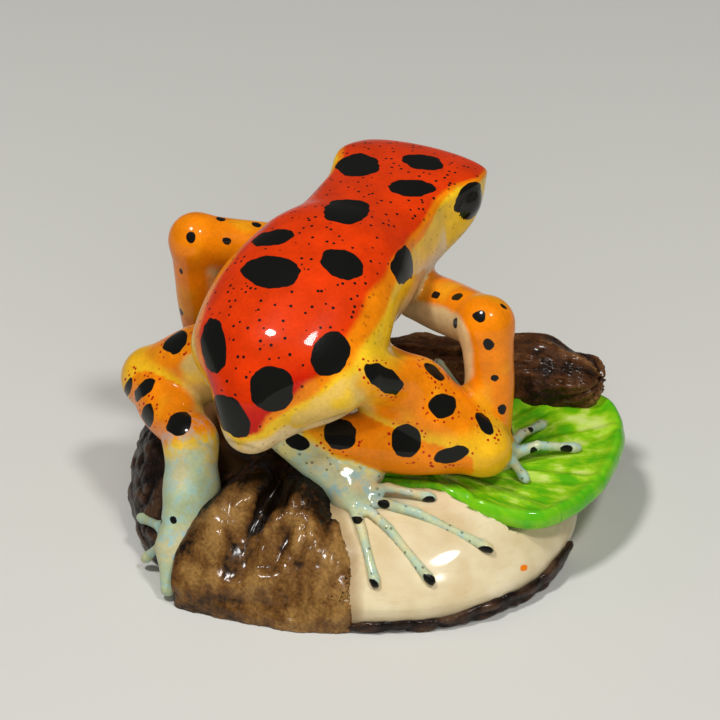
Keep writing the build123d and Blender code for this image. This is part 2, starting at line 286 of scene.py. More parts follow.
body_middles = np.array([on_frog(*row[:3]) for row in BODY_STATION_SHARES])
body_run = np.concatenate(([0.0], np.cumsum(length(np.diff(body_middles[:, 1:], axis=0)))))
NECK_RUN = body_run[NECK_STATION]
run_table, middle_x, middle_y, middle_z, *swells, wall_table, square_table = smooth_curves(
    body_run,
    *body_middles.T,
    *BODY_STATION_SHARES[:, 3:6].T ** 2,
    *BODY_STATION_SHARES[:, 6:].T,
)
half_width_table, rise_table, drop_table = (
    size * np.sqrt(np.maximum(swell, 0))
    for size, swell in zip((BODY_HALF_WIDTH, BODY_HALF_HEIGHT, BODY_HALF_HEIGHT), swells)
)


def evened(values):
    """A running mean over neighbouring samples, with the ends held."""
    padded = np.pad(values, HEADING_SAMPLES // 2, mode="edge")
    return np.convolve(padded, np.ones(HEADING_SAMPLES) / HEADING_SAMPLES, mode="valid")


heading_y, heading_z = (evened(np.gradient(row, run_table)) for row in (middle_y, middle_z))
heading_size = np.hypot(heading_y, heading_z)


def along_body(run, *tables):
    return [np.interp(run, run_table, table) for table in tables]


def body_place(points):
    """Run along the body's middle line, shares of width and height, and the gap past an end."""
    x, y, z = points.T
    run = np.interp(-y, -middle_y, run_table)
    for step in range(RUN_STEPS):
        line_y, line_z, along_y, along_z = along_body(
            run, middle_y, middle_z, heading_y, heading_z
        )
        gap = (y - line_y) * along_y + (z - line_z) * along_z
        run = np.clip(run + gap / (along_y**2 + along_z**2), 0, body_run[-1])
    line_x, line_y, line_z = along_body(run, middle_x, middle_y, middle_z)
    along_y, along_z = along_body(run, heading_y / heading_size, heading_z / heading_size)
    half_width, rise, drop = along_body(run, half_width_table, rise_table, drop_table)
    above = (y - line_y) * along_z - (z - line_z) * along_y
    past = (y - line_y) * along_y + (z - line_z) * along_z
    side = (x - line_x) / np.maximum(half_width, THINNEST)
    return run, side, above / np.maximum(np.where(above > 0, rise, drop), THINNEST), past


def body_level(points):
    run, side, above, past = body_place(points)
    wall, top_square = along_body(run, wall_table, square_table)
    below = np.maximum(-above - wall, 0) / (1 - wall)
    square = np.where(above > 0, top_square, 2.0)
    upright = np.where(above > 0, above, below)
    level = (np.abs(side) ** square + upright**square) ** (1 / square)
    return level - 1, np.abs(past)


# Dents on both sides, at the waist and in the groin: middle, depth and reach
BODY_DENTS = [(on_frog(0.21 + side * 0.38, 0.06, 0.53), 2.0, 4.5) for side in (-1, 1)]
BODY_DENTS += [(on_frog(0.21 + side * 0.25, 0.71, 0.42), 2.2, 3.4) for side in (-1, 1)]

# Balls that hold the whole body, so that nothing far from it counts as near
BALL_STEP = 16
BALL_SHARE = 1.06
BALL_MARGIN = 0.1
ball_middles = np.column_stack((middle_x, middle_y, middle_z))[::BALL_STEP]
widest = np.max((half_width_table, rise_table, drop_table), axis=0)
ball_radii = BALL_SHARE * widest[::BALL_STEP] + BALL_MARGIN

PROBE = 0.04
PAST_END = 0.3
NEAR_BODY = 1.5


def body_distance(points):
    level, past = body_level(points)
    slope = np.zeros(len(points))
    for step in PROBE * np.eye(3):
        slope += ((body_level(points + step)[0] - level) / PROBE) ** 2
    gap = level / np.sqrt(np.maximum(slope, 1 / (4 * BODY_HALF_WIDTH) ** 2))
    for middle, depth, reach in BODY_DENTS:
        gap += depth * bell(length(points - middle), reach)
    result = np.where(past > PAST_END, np.maximum(gap, past), gap)
    near = result < NEAR_BODY
    balls = zip(ball_middles, ball_radii)
    to_balls = [length(points[near] - middle) - radius for middle, radius in balls]
    result[near] = np.maximum(result[near], np.min(to_balls, axis=0))
    return result


# Joints of the limbs, and the limbs between them
JOINTS = {
    "right_hip": on_frog(0.0, 0.20, 0.48),
    "right_knee": on_frog(-0.55, 0.06, 0.12),
    "right_ankle": on_frog(0.17, 0.45, 0.20),
    "right_shoulder": on_frog(0.02, -0.50, 0.44),
    "right_elbow": on_frog(-0.455, -0.16, 0.59),
    "right_wrist": on_frog(-0.53, -0.10, 0.05),
    "left_hip": on_frog(0.42, 0.24, 0.45),
    "left_knee": on_frog(0.925, 0.26, 0.175),
    "left_ankle": on_frog(0.56, 0.60, 0.14),
    "left_shoulder": on_frog(0.40, -0.50, 0.52),
    "left_elbow": on_frog(0.90, -0.11, 0.68),
    "left_wrist": on_frog(0.94, -0.24, 0.02),
}
# Limb: from, to, radius at the belly, shares of it at the two ends, place of the belly
LIMBS = {
    "right_thigh": ("hip", "knee", THIGH_RADIUS, 0.8, 0.68, 0.5),
    "left_thigh": ("hip", "knee", THIGH_RADIUS, 0.9, 0.80, 0.5),
    "right_shank": ("knee", "ankle", SHANK_RADIUS, 0.8, 0.62, 0.4),
    "left_shank": ("knee", "ankle", SHANK_RADIUS, 0.9, 0.70, 0.4),
    "right_upper_arm": ("shoulder", "elbow", UPPER_ARM_RADIUS, 0.95, 0.96, 0.4),
    "left_upper_arm": ("shoulder", "elbow", UPPER_ARM_RADIUS, 0.9, 0.95, 0.4),
    "right_forearm": ("elbow", "wrist", FOREARM_RADIUS, 1.08, 0.72, 0.4),
    "left_forearm": ("elbow", "wrist", FOREARM_RADIUS, 1.06, 0.74, 0.4),
}
# Paw: shares of the base for its palm and then for the tips of its digits
PAW_SHARES = {
    "right_hand": (
        (-0.57, -0.08, 1.0),
        (-0.61, -0.42, 0.98), (-0.80, -0.33, 0.95), (-0.70, -0.02, 0.96), (-0.05, -0.58, 1.15),
    ),
    "left_hand": (
        (0.88, -0.30, 0.90),
        (0.62, -0.36, 1.0), (0.72, -0.56, 0.92), (0.86, -0.50, 0.74), (0.99, -0.32, 0.55),
    ),
    "right_foot": (
        (-0.11, 0.46, 0.98),
        (-0.414, 0.328, 0.98), (-0.714, 0.399, 0.68), (-0.565, 0.64, 0.54), (-0.372, 0.753, 0.54),
    ),
    "left_foot": (
        (0.51, 0.86, 0.42),
        (0.655, 0.84, 0.17), (0.745, 0.71, 0.40), (0.69, 0.62, 0.44),
    ),
}
PAWS = {name: [on_base(*row) for row in rows] for name, rows in PAW_SHARES.items()}


def muscle(points, name):
    """A limb by itself, with round ends and one belly."""
    start, end, radius, near_share, far_share, belly_share = LIMBS[name]
    side = name.split("_")[0]
    ends = [JOINTS[f"{side}_{joint}"] for joint in (start, end)]

    def exact(near):
        gap, share = from_line(near, *ends)
        rise = near_share + (1 - near_share) * ease(share / belly_share)
        fall = (far_share - 1) * within(share, belly_share, 1)
        return gap - radius * (rise + fall)

    return culled(points, ends, radius, exact)


# Eyes: low domes in the sides of the head, just under the brow
EYES = {"left_eye": 1, "right_eye": -1}
EYE_DROP_SHARE = 0.8
EYE_SIDE_SHARE = 0.76
EYE_SIDE = EYE_SIDE_SHARE * BODY_HALF_WIDTH + EYE_BULGE - EYE_RADIUS
brow = on_frog(0.18, -0.71, 0.915)


def eye_distance(points, name):
    middle = brow + (EYES[name] * EYE_SIDE, 0, -EYE_DROP_SHARE * EYE_RADIUS)
    return length(points - middle) - EYE_RADIUS


# Haunch: the soft root of the right thigh along the flank, with the place of each
# ball in the photograph, its radius and how far it stands out of the flank
HAUNCH_PX = [
    ((300, 411), 1.4, 0.4),
    ((322, 401), 1.7, 0.8),
    ((342, 391), 2.0, 1.1),
    ((360, 377), 2.2, 1.1),
]
HAUNCH_END_PX = (420, 384)
HAUNCH_END_RADIUS = 2.4
HAUNCH_SOFTNESS = 1.6
haunch_pixels, haunch_radii, haunch_lifts = map(list, zip(*HAUNCH_PX))
haunch_middles = [
    middle - (radius - lift) * BACK
    for middle, radius, lift in zip(
        hits(body_distance, haunch_pixels), haunch_radii, haunch_lifts
    )
]
haunch_end = hits(lambda points: muscle(points, "right_thigh"), [HAUNCH_END_PX])[0]
haunch_middles.append(haunch_end - HAUNCH_END_RADIUS * BACK)
haunch_radii.append(HAUNCH_END_RADIUS)


def limb_distance(points, name):
    limb = muscle(points, name)
    if name == "right_thigh":
        limb = blend(limb, chain(points, haunch_middles, haunch_radii), HAUNCH_SOFTNESS)
    return limb


# Insteps: where they start and end, and the radius at each
ANKLE_SHARE = 0.85
HEEL_RADIUS = 1.04 * INSTEP_RADIUS
TOE_ROOT_RADIUS = 0.68 * INSTEP_RADIUS
LAST_TOE_RADIUS = 0.30 * INSTEP_RADIUS
WRIST_RADIUS = 0.76 * FOREARM_RADIUS
left_heel = on_base(0.52, 0.68, 0.90)
left_palm = PAWS["left_foot"][0]
INSTEPS = {
    "right_foot": [
        (start, PAWS["right_foot"][0], (share * INSTEP_RADIUS, PALM_RADIUS))
        for start, share in (
            (JOINTS["right_ankle"], ANKLE_SHARE),
            (on_frog(-0.07, 0.36, 0.07), ANKLE_SHARE),
            (on_frog(-0.15, 0.34, 0.04), 0.6),
        )
    ],
    "left_foot": [
        (JOINTS["left_ankle"], left_heel, (INSTEP_RADIUS, HEEL_RADIUS)),
        (left_heel, left_palm, (HEEL_RADIUS, TOE_ROOT_RADIUS)),
        (left_palm, on_base(0.475, 0.99, 0.12), (TOE_ROOT_RADIUS, LAST_TOE_RADIUS)),
    ],
}
for side in ("right", "left"):
    wrist_and_palm = (JOINTS[side + "_wrist"], PAWS[side + "_hand"][0])
    INSTEPS[side + "_hand"] = [(*wrist_and_palm, (WRIST_RADIUS, PALM_RADIUS))]

PAD_END_SHARE = 0.6
DIGIT_RADII = [share * DIGIT_RADIUS for share in (1.5, 1.0, 0.85, 1.1)]
DIGIT_RADII.append(PAD_END_SHARE * PAD_RADIUS)
INSTEP_SOFTNESS = 1.0
DIGIT_SOFTNESS = 0.7


def digit_path(palm, tip):
    knuckle = (palm + tip) / 2 + (0, 0, DIGIT_LIFT)
    end = tip + unit(tip - knuckle) * PAD_RADIUS * PAD_END_SHARE
    return [palm, knuckle, (knuckle + tip) / 2, tip, end]


def paw_distance(points, name):
    palm, *tips = PAWS[name]
    cones = [chain(points, (start, end), radii) for start, end, radii in INSTEPS[name]]
    digits = [chain(points, digit_path(palm, tip), DIGIT_RADII) for tip in tips]
    return blend_all([blend_all(cones, INSTEP_SOFTNESS), *digits], DIGIT_SOFTNESS)


PART_NAMES = ["torso", "head", *EYES, *LIMBS, *PAWS]
PART_MARGIN = 0.01


def part_distances(points):
    """The distance to every part of the frog by itself."""
    body = body_distance(points)
    in_torso = body_place(points)[0] <= NECK_RUN
    distances = {
        "torso": np.where(in_torso, body, body + PART_MARGIN),
        "head": np.where(in_torso, body + PART_MARGIN, body),
    }
    for names, measure in ((EYES, eye_distance), (LIMBS, limb_distance), (PAWS, paw_distance)):
        distances.update({name: measure(points, name) for name in names})
    return distances


ROOT_SOFTNESS = 2.0
THIGH_SOFTNESS = 1.8
JOINT_SOFTNESS = 0.9
SHANK_SOFTNESS = 1.0
CREASE_SOFTNESS = 0.35
# The right foot comes out from under the shank, the left one runs on from it
ANKLE_SOFTNESS = {"right": 0.35, "left": 1.6}


def join_parts(distances):
    """The whole frog: soft at roots and joints, crisp in creases and round the eyes."""
    whole = np.minimum(distances["torso"], distances["head"])
    for side in ("right", "left"):
        eye, thigh, shank, foot, *arm = (
            distances[f"{side}_{part}"]
            for part in ("eye", "thigh", "shank", "foot", "upper_arm", "forearm", "hand")
        )
        whole = blend(whole, thigh, THIGH_SOFTNESS)
        whole = blend(whole, blend_all(arm, JOINT_SOFTNESS), ROOT_SOFTNESS)
        whole = blend(whole, blend(shank, foot, ANKLE_SOFTNESS[side]), SHANK_SOFTNESS)
        whole = blend(whole, eye, CREASE_SOFTNESS)
    return whole


def frog_distance(points):
    return join_parts(part_distances(points))


# Surfaces: a field is meshed on a fine grid and its points pulled onto the surface
CHUNK = 150000
COARSE = 4
NEAR_CELLS = 1.5
PULLS = 2
SLOPE_PROBE = 0.05
LEAST_STEEPNESS = 0.1


def in_chunks(field, points):
    starts = range(0, len(points), CHUNK)
    return np.concatenate([field(points[start : start + CHUNK]) for start in starts])


def gradient(field, points):
    slopes = [
        in_chunks(field, points + step) - in_chunks(field, points - step)
        for step in SLOPE_PROBE * np.eye(3)
    ]
    return np.stack(slopes, axis=1) / (2 * SLOPE_PROBE)


def at_corner(corner, counts):
    """The slices of a grid that hold one corner of every cell."""
    return tuple(slice(start, start + count) for start, count in zip(corner, counts))


def grid_values(field, low, high, cell):
    """Field values on a fine grid, exact only near the surface."""
    coarse_cell = cell * COARSE
    coarse_counts = np.ceil((high - low) / coarse_cell).astype(int)
    centres = low + (np.argwhere(np.ones(coarse_counts, bool)) + 0.5) * coarse_cell
    coarse = in_chunks(field, centres).reshape(coarse_counts)
    near = np.abs(coarse) < NEAR_CELLS * coarse_cell
    for axis in range(3):
        near = np.repeat(near, COARSE, axis=axis)
        coarse = np.repeat(coarse, COARSE, axis=axis)
    values = np.pad(coarse, ((0, 1),) * 3, mode="edge")
    wanted = np.zeros(values.shape, bool)
    for corner in CORNERS:
        wanted[at_corner(corner, near.shape)] |= near
    values[wanted] = in_chunks(field, low + np.argwhere(wanted) * cell)
    return values


def cut_middles(values, cells):
    """The mean place in each cell where the surface cuts its edges."""
    corner_values = {corner: values[tuple((cells + corner).T)] for corner in CORNERS}
    summed = np.zeros((len(cells), 3))
    weight = np.zeros((len(cells), 1))
    for start, end in itertools.combinations(CORNERS, 2):
        way = np.subtract(end, start)
        if np.abs(way).sum() == 1:
            first, second = corner_values[start], corner_values[end]
            cut = (first < 0) != (second < 0)
            share = np.where(cut, first / np.where(cut, first - second, 1), 0)
            summed += (start + share[:, None] * way) * cut[:, None]
            weight += cut[:, None]
    return summed / weight


def cut_quads(inside, number):
    """A quad round each grid line that the surface cuts, turned outwards."""
    quads = []
    steps = np.eye(3, dtype=int)
    for axis in range(3):
        others = [(axis + 1) % 3, (axis + 2) % 3]
        change = np.diff(inside.astype(int), axis=axis)
        edges = np.argwhere(change)
        across = edges[:, others]
        edges = edges[np.all((across > 0) & (across < np.take(number.shape, others)), axis=1)]
        ring = [
            number[tuple((edges - np.array(back) @ steps[others]).T)]
            for back in ((1, 1), (0, 1), (0, 0), (1, 0))
        ]
        ring = np.stack(ring, axis=1)
        turned = change[tuple(edges.T)] > 0
        ring[turned] = ring[turned][:, ::-1]
        quads.append(ring)
    return np.concatenate(quads)


def surface(field, low, high, cell):
    """Points, quads and normals of the surface where a field is zero."""
    cell = cell * DRAFT_CELL_SHARE
    values = grid_values(field, low, high, cell)
    inside = values < 0
    cell_counts = np.array(inside.shape) - 1
    total = sum(inside[at_corner(corner, cell_counts)].astype(int) for corner in CORNERS)
    crossed = (total > 0) & (total < len(CORNERS))
    cells = np.argwhere(crossed)
    number = np.full(cell_counts, -1)
    number[crossed] = np.arange(len(cells))
    points = low + (cells + cut_middles(values, cells)) * cell
    for pull in range(PULLS):
        slope = gradient(field, points)
        steepness = np.maximum((slope**2).sum(1), LEAST_STEEPNESS)
        shift = (in_chunks(field, points) / steepness)[:, None] * slope
        points = points - np.clip(shift, -cell / 2, cell / 2)
    return points, cut_quads(inside, number), unit(gradient(field, points))


def make_object(name, points, faces, normals, attributes):
    """A mesh object in metres, with smooth normals and its painted values."""
    points = np.column_stack((points[:, :2], np.maximum(points[:, 2], 0)))
    mesh = bpy.data.meshes.new(name)
    mesh.from_pydata((points * MM).tolist(), [], [list(face) for face in faces])
    mesh.update()
    mesh.shade_smooth()
    mesh.normals_split_custom_set_from_vertices(normals.tolist())
    for key, values in attributes.items():
        kind, socket = ("FLOAT_VECTOR", "vector") if values.ndim == 2 else ("FLOAT", "value")
        layer = mesh.attributes.new(key, kind, "POINT")
        layer.data.foreach_set(socket, np.ascontiguousarray(values, np.float32).ravel())
    made = bpy.data.objects.new(name, mesh)
    bpy.context.scene.collection.objects.link(made)
    return made


def rim_groups(edges):
    """Edges grouped into the closed rims that they form."""
    leader = {}

    def find(point):
        while leader.setdefault(point, point) != point:
            point = leader[point]
        return point

    for start, end in edges:
        leader[find(start)] = find(end)
    groups = {}
    for start, end in edges:
        groups.setdefault(find(start), []).append((start, end))
    return list(groups.values())


RIM_INSET = 0.35


def closed_part(points, quads, normals, attributes):
    """One part's patch of the skin, closed at each rim by a hidden wall and fan."""
    used = np.unique(quads)
    faces = np.searchsorted(used, quads)
    directed = np.concatenate([faces[:, [a, (a + 1) % 4]] for a in range(4)])
    known = set(map(tuple, directed.tolist()))
    rims = sorted(edge for edge in known if edge[::-1] not in known)
    face_list = faces.tolist()
    points, normals = points[used], normals[used]
    all_points, all_normals, sources = [points], [normals], list(range(len(used)))
    for group in rim_groups(rims):
        members = sorted({point for edge in group for point in edge})
        inner = {point: len(sources) + place for place, point in enumerate(members)}
        centre = len(sources) + len(members)
        rim, facing = points[members], normals[members]
        all_points += [rim - RIM_INSET * facing, rim.mean(axis=0)[None]]
        all_normals += [facing, facing.mean(axis=0)[None]]
        sources += members + [members[0]]
        face_list += [[end, start, inner[start], inner[end]] for start, end in group]
        face_list += [[inner[end], inner[start], centre] for start, end in group]
    attributes = {key: values[used][sources] for key, values in attributes.items()}
    return np.vstack(all_points), face_list, np.vstack(all_normals), attributes


# Painted spots: middle, width, height and turn of each in the photograph, clockwise
SPOTS_PX = [
    # Body
    (357, 165, 44, 25, 5), (423, 162, 43, 15, 8), (412, 188, 46, 17, 3),
    (347, 210, 48, 30, -15), (273, 238, 43, 15, -12), (271, 272, 59, 32, 3),
    (342, 264, 46, 29, 20), (404, 265, 41, 25, -72), (214, 346, 54, 26, 86),
    (330, 354, 47, 38, -62), (272, 389, 48, 44, 80), (231, 416, 50, 29, 52),
    (468, 197, 38, 19, -55),
    # Legs
    (384, 379, 46, 23, 36), (434, 372, 27, 9, 42), (443, 406, 28, 25, 20),
    (485, 424, 28, 12, 55), (297, 442, 26, 16, 22), (340, 434, 35, 31, 45),
    (406, 441, 33, 30, 90), (451, 455, 34, 16, -15), (175, 341, 28, 24, -50),
    (149, 344, 35, 10, -57), (144, 389, 32, 12, -46), (128, 388, 27, 7, -70),
    (148, 416, 27, 12, -80), (178, 423, 27, 25, 0),
    # Arms
    (436, 295, 10, 6, 0), (457, 297, 11, 8, -10), (479, 316, 13, 12, 0),
    (455, 323, 9, 8, 90), (488, 344, 11, 11, 0), (494, 378, 9, 7, 10),
    (502, 410, 10, 10, 0), (503, 306, 10, 4, 38), (512, 431, 9, 4, 90),
    (191, 238, 11, 9, 90), (227, 241, 10, 8, 0), (221, 219, 9, 4, 0),
    (256, 225, 11, 5, 15), (181, 271, 8, 5, 90), (181, 312, 8, 7, 0),
    # Toes
    (384, 504, 12, 8, 20), (428, 500, 15, 8, 0), (356, 520, 14, 8, 0),
    (434, 533, 9, 8, 20), (486, 550, 17, 9, 10), (391, 548, 9, 7, 40),
    (430, 580, 16, 9, 35), (353, 547, 13, 9, 60), (373, 585, 13, 9, 70),
    (534, 452, 9, 6, 90), (566, 449, 11, 7, 0), (531, 430, 8, 5, 0),
    (173, 520, 9, 7, 60), (161, 521, 9, 5, 70),
]
DAB_PX = [(524, 568, 9, 7, 0)]
NO_SPOT_NEAR = 9.0
SPOT_REACH_SHARE = 0.62


def spot_distance(points, field, spots):
    """Distance to the nearest painted spot, in millimetres along the surface."""
    nearest = np.full(len(points), NO_SPOT_NEAR)
    seen = to_pixels(points)
    centres = hits(field, [spot[:2] for spot in spots])
    for centre, (across, down, width, height, turn) in zip(centres, spots):
        reach = SPOT_REACH_SHARE * max(width, height) / PX_PER_MM
        gap = length(points - centre)
        close = gap < 3 * reach + 1
        shift = seen[close] - (across, down)
        angle = math.radians(turn)
        long_way = shift @ (math.cos(angle), math.sin(angle))
        short_way = shift @ (-math.sin(angle), math.cos(angle))
        ratio = np.hypot(long_way / (width / 2), short_way / (height / 2))
        distance = (ratio - 1) * math.sqrt(width * height) / 2 / PX_PER_MM
        distance = np.maximum(distance, gap[close] - reach)
        nearest[close] = np.minimum(nearest[close], distance)
    return nearest


def nearest_part(distances):
    return np.argmin([distances[name] for name in PART_NAMES], axis=0)


FROG_CELL = 0.3
FROG_BOX = (at_shares(-0.95, -1.1, 0.2), at_shares(1.2, 1.15, BASE_HEIGHT + 1.05 * FROG_RISE))
frog_points, frog_quads, frog_normals = surface(frog_distance, *FROG_BOX, FROG_CELL)
frog_parts = part_distances(frog_points)
point_part = nearest_part(frog_parts)
quad_part = nearest_part(part_distances(frog_points[frog_quads].mean(axis=1)))


def on(*names):
    """Which points of the frog belong to these parts."""
    return np.isin(point_part, [PART_NAMES.index(name) for name in names])


# Colours of the paint
# Red paint in a shaded and a lit copy: painted shade on faces turned down, painted light on faces turned up
SHADED_RED = np.array((0.52, 0.006, 0.0005))
LIT_RED_ORANGE = np.array((0.70, 0.038, 0.001))
ORANGE = np.array((0.84, 0.225, 0.002))
YELLOW = np.array((0.82, 0.50, 0.015))
CREAM = np.array((0.72, 0.53, 0.26))
HAUNCH_CREAM = np.array((0.66, 0.44, 0.13))
PALE = np.array((0.49, 0.55, 0.33))
# A darker copy of the pale paint for the left leg: painted shade
SHADED_LEFT_PALE = np.array((0.36, 0.42, 0.24))
FOOT_YELLOW = np.array((0.70, 0.62, 0.22))
# Painted shade laid in the hollows between parts
HOLLOW_SHADE_OLIVE = np.array((0.24, 0.14, 0.015))

# Edges of the painted regions on the frog's right flank, from the head to the rump
RED_EDGE_PX = [
    (479, 177), (455, 184), (441, 194), (433, 202), (427, 214), (421, 224),
    (411, 234), (405, 245), (394, 258), (381, 275), (367, 295), (354, 320),
    (346, 345), (328, 370), (305, 384), (290, 402), (268, 418),
]
YELLOW_EDGE_PX = [
    (481, 181), (458, 187), (445, 198), (438, 208), (432, 222), (424, 236),
    (412, 250), (402, 268), (392, 291), (385, 313), (372, 334), (358, 350),
    (349, 366), (331, 377), (306, 399), (283, 414), (262, 430),
]
# Edges on the legs, each as rows and the places across them: where the haunch turns
# from cream to orange, and where the left leg's inner side turns cream
HAUNCH_EDGE_PX = ((335, 350, 366, 385, 400, 415), (404, 384, 364, 357, 368, 372))
INNER_EDGE_PX = ((340, 356, 366, 390, 415, 432, 445), (230, 186, 178, 187, 197, 201, 207))
# The left foot's pale paint begins below this sloping line
FOOT_EDGE_PX = (428, 466)
FOOT_EDGE_MIDDLE_PX = 178
FOOT_EDGE_SLOPE = 0.25
# The red ends over the rump, where angles are turned towards the belly
RUMP_RUN = (0.2, 2.4)
RUMP_TURN = 60
EDGE_BLUR = 3
# Hollows between parts get painted olive shade over this depth
HOLLOW_DEPTH = 0.9
PALM_REACH = 3.2


def mix(first, second, share):
    return first + (second - first) * share[:, None]


def lay(colours, where, paint, share):
    """Paint laid over some of the points."""
    colours[where] = mix(colours, paint, share)[where]


def flank_angle(points):
    """Run along the body, and the angle from its top in degrees, alike on both sides."""
    run, side, above, past = body_place(points)
    return run, np.degrees(np.arctan2(np.abs(side), above))


def paint_body(points, normals):
    """Red back with painted light where it faces up and painted shade where it turns down, orange and
    yellow flanks and cream belly, and how much of it is dotted.
    """
    run, angle = flank_angle(points)
    limits = []
    for pixels in (RED_EDGE_PX, YELLOW_EDGE_PX):
        edge_run, edge_angle = flank_angle(hits(body_distance, pixels))
        order = np.argsort(edge_run)
        limits.append(np.interp(run, edge_run[order], edge_angle[order]))
    red_limit, yellow_limit = limits
    angle = angle + RUMP_TURN * (1 - within(run, *RUMP_RUN))
    wave = 4 * noise(points, 3.0)
    # Painted light and shade: the red is lighter where the skin faces up and darker where it turns down
    red_shade = within(0.25 * noise(points, 4.0) - normals[:, 2], -0.75, 0.1)
    colour = mix(LIT_RED_ORANGE, SHADED_RED, red_shade)
    colour = mix(colour, ORANGE, within(angle + wave - red_limit, -EDGE_BLUR, EDGE_BLUR))
    past_orange = angle + wave / 3 - np.maximum(yellow_limit, red_limit + 4)
    colour = mix(colour, YELLOW, within(past_orange, -EDGE_BLUR, EDGE_BLUR))
    belly = within(angle + wave - yellow_limit, 20, 38) * (run < NECK_RUN)
    return mix(colour, CREAM, belly), 1 - 0.7 * within(angle - red_limit, -2, 4)


def paint_limbs(points, normals, parts):
    """Orange limbs with yellow and cream roots and inner sides, and pale paws; the left leg's pale paint is
    a darker copy, painted shade.
    """
    across, down = to_pixels(points).T
    edge_wave = 3 * noise(points, 1.5)
    soft_cream = mix(HAUNCH_CREAM, YELLOW, within(noise(points, 1.6), -0.3, 0.7))
    haunch = 1 - within(across - np.interp(down, *HAUNCH_EDGE_PX) + edge_wave, -5, 9)
    inner_leg = within(across - np.interp(down, *INNER_EDGE_PX) + edge_wave, -4, 6)
    level = down + FOOT_EDGE_SLOPE * (across - FOOT_EDGE_MIDDLE_PX)
    lowered = within(level + 5 * noise(points, 2.0), *FOOT_EDGE_PX)
    near_foot = 1 - within(parts["right_foot"] + 0.4 * noise(points, 3.0), -0.2, 0.8)
    limb = mix(ORANGE, YELLOW, 0.35 * within(noise(points, 2.5), 0.1, 0.8))
    lay(limb, on("right_thigh"), soft_cream, haunch)
    for side, cover in (("right", 1 - 0.6 * haunch), ("left", 1.0)):
        root = within(parts[side + "_thigh"] + 1.4 - parts["torso"], -1.2, 1.6)
        crease = 1 - within(parts[side + "_shank"], 0.3, 1.4)
        lay(limb, on(side + "_thigh"), YELLOW, root * cover)
        lay(limb, on(side + "_thigh"), YELLOW, 0.8 * crease)
    lay(limb, on("left_thigh", "left_shank"), soft_cream, inner_leg)
    # The left shank's pale paint is the darker copy: painted shade
    for name, low, pale in (("right_shank", near_foot, CREAM), ("left_shank", lowered, SHADED_LEFT_PALE)):
        lay(limb, on(name), YELLOW, 0.9 * ease(2 * low))
        lay(limb, on(name), pale, ease(2 * low - 1))
    for side, inwards, turned_in in (
        ("right", (0.77, 0.51, -0.36), 0.6),
        ("left", (-0.8, 0.3, -0.5), 0.86),
    ):
        facing = normals @ inwards + 0.1 * noise(points, 2.0)
        arm = on(side + "_upper_arm", side + "_forearm")
        lay(limb, arm, CREAM, within(facing, turned_in, turned_in + 0.16))
    paw = mix(PALE, CREAM, 0.6 * within(noise(points, 2.2), -0.2, 0.6))
    near_shank = 1 - within(parts["right_shank"] + 0.5 * noise(points, 1.8), 0.1, 1.4)
    paw = mix(paw, FOOT_YELLOW, 0.8 * near_shank)
    left_foot = on("left_foot")
    # The left foot is darkened with the shaded copy of the pale paint: painted shade
    lay(paw, left_foot, SHADED_LEFT_PALE, 0.3 + 0.6 * within(noise(points, 2.6), -0.4, 0.5))
    lay(paw, left_foot, soft_cream, 0.8 * inner_leg * (1 - within(down, 450, 500)))
    lay(paw, left_foot, YELLOW, 0.9 * (1 - ease(2 * lowered - 1)))
    lay(paw, left_foot, ORANGE, 1 - ease(2 * lowered))
    return limb, paw


def paint_frog(points, normals, parts):
    """Colour of the skin with painted shade in its hollows, and where spots, dots, rings and streaks go."""
    colour, dots = paint_body(points, normals)
    limb, paw = paint_limbs(points, normals, parts)
    on_paw = on(*PAWS)
    colour = np.where(on(*LIMBS)[:, None], limb, colour)
    colour = np.where(on_paw[:, None], paw, colour)
    # Painted shade: the skin turns towards olive where the frog closes over it
    above = frog_distance(points + HOLLOW_DEPTH * normals)
    hollow = 1 - np.clip(above / HOLLOW_DEPTH, 0, 1)
    to_palm = np.min([length(points - palm) for palm, *tips in PAWS.values()], axis=0)
    toe_dots = 0.6 * on_paw * within(to_palm, 2.2, 3.5) * ~on("left_foot")
    return {
        "paint": mix(colour, HOLLOW_SHADE_OLIVE, 0.55 * within(hollow, 0.35, 0.9)),
        "spot": spot_distance(points, frog_distance, SPOTS_PX),
        "dots": on("torso", "head") * dots + toe_dots,
        "rings": on(*(name for name in LIMBS if "arm" not in name)).astype(float),
        "streaks": on_paw * (0.45 + 0.55 * bell(to_palm, PALM_REACH)),
    }


# Base: the nut's block, its skins, the bark and the leaf
# Levels: height, middle in plan, reach to the left, the rump side, the right and the front
NUT_LEVEL_SHARES = np.array(
    [
        (0.0, 0.08, 0.08, 0.88, 0.84, 0.97, 0.98),
        (0.27, 0.08, 0.08, 0.91, 0.86, 1.00, 1.02),
        (0.57, 0.10, 0.06, 0.89, 0.76, 0.96, 0.98),
        (0.83, 0.13, 0.03, 0.82, 0.62, 0.88, 0.92),
        (1.0, 0.18, 0.00, 0.68, 0.46, 0.66, 0.80),
    ]
)
level_heights, *level_tables = smooth_curves(
    NUT_LEVEL_SHARES[:, 0] * BASE_HEIGHT, *NUT_LEVEL_SHARES[:, 1:].T
)
# How deep bark and skins reach into the nut, and skins into the lobe
BARK_SINK = 0.25
SKIN_SINK = 0.2
SKIN_IN_LOBE = 0.3


def nut_distance(points, growth=0.0):
    x, y, z = points.T
    x_share, y_share, left, rump, right, front = (
        np.interp(z, level_heights, table) for table in level_tables
    )
    side = x - x_share * BASE_WIDTH / 2
    deep = y - y_share * BASE_DEPTH / 2
    reach_x = np.where(side > 0, left, right) * BASE_WIDTH / 2 + growth
    reach_y = np.where(deep > 0, rump, front) * BASE_DEPTH / 2 + growth
    level = np.hypot(side / reach_x, deep / reach_y)
    wall = (level - 1) * np.hypot(side, deep) / np.maximum(level, THINNEST)
    return carve(wall * 0.85, np.maximum(z - BASE_HEIGHT, -z), 0.5)


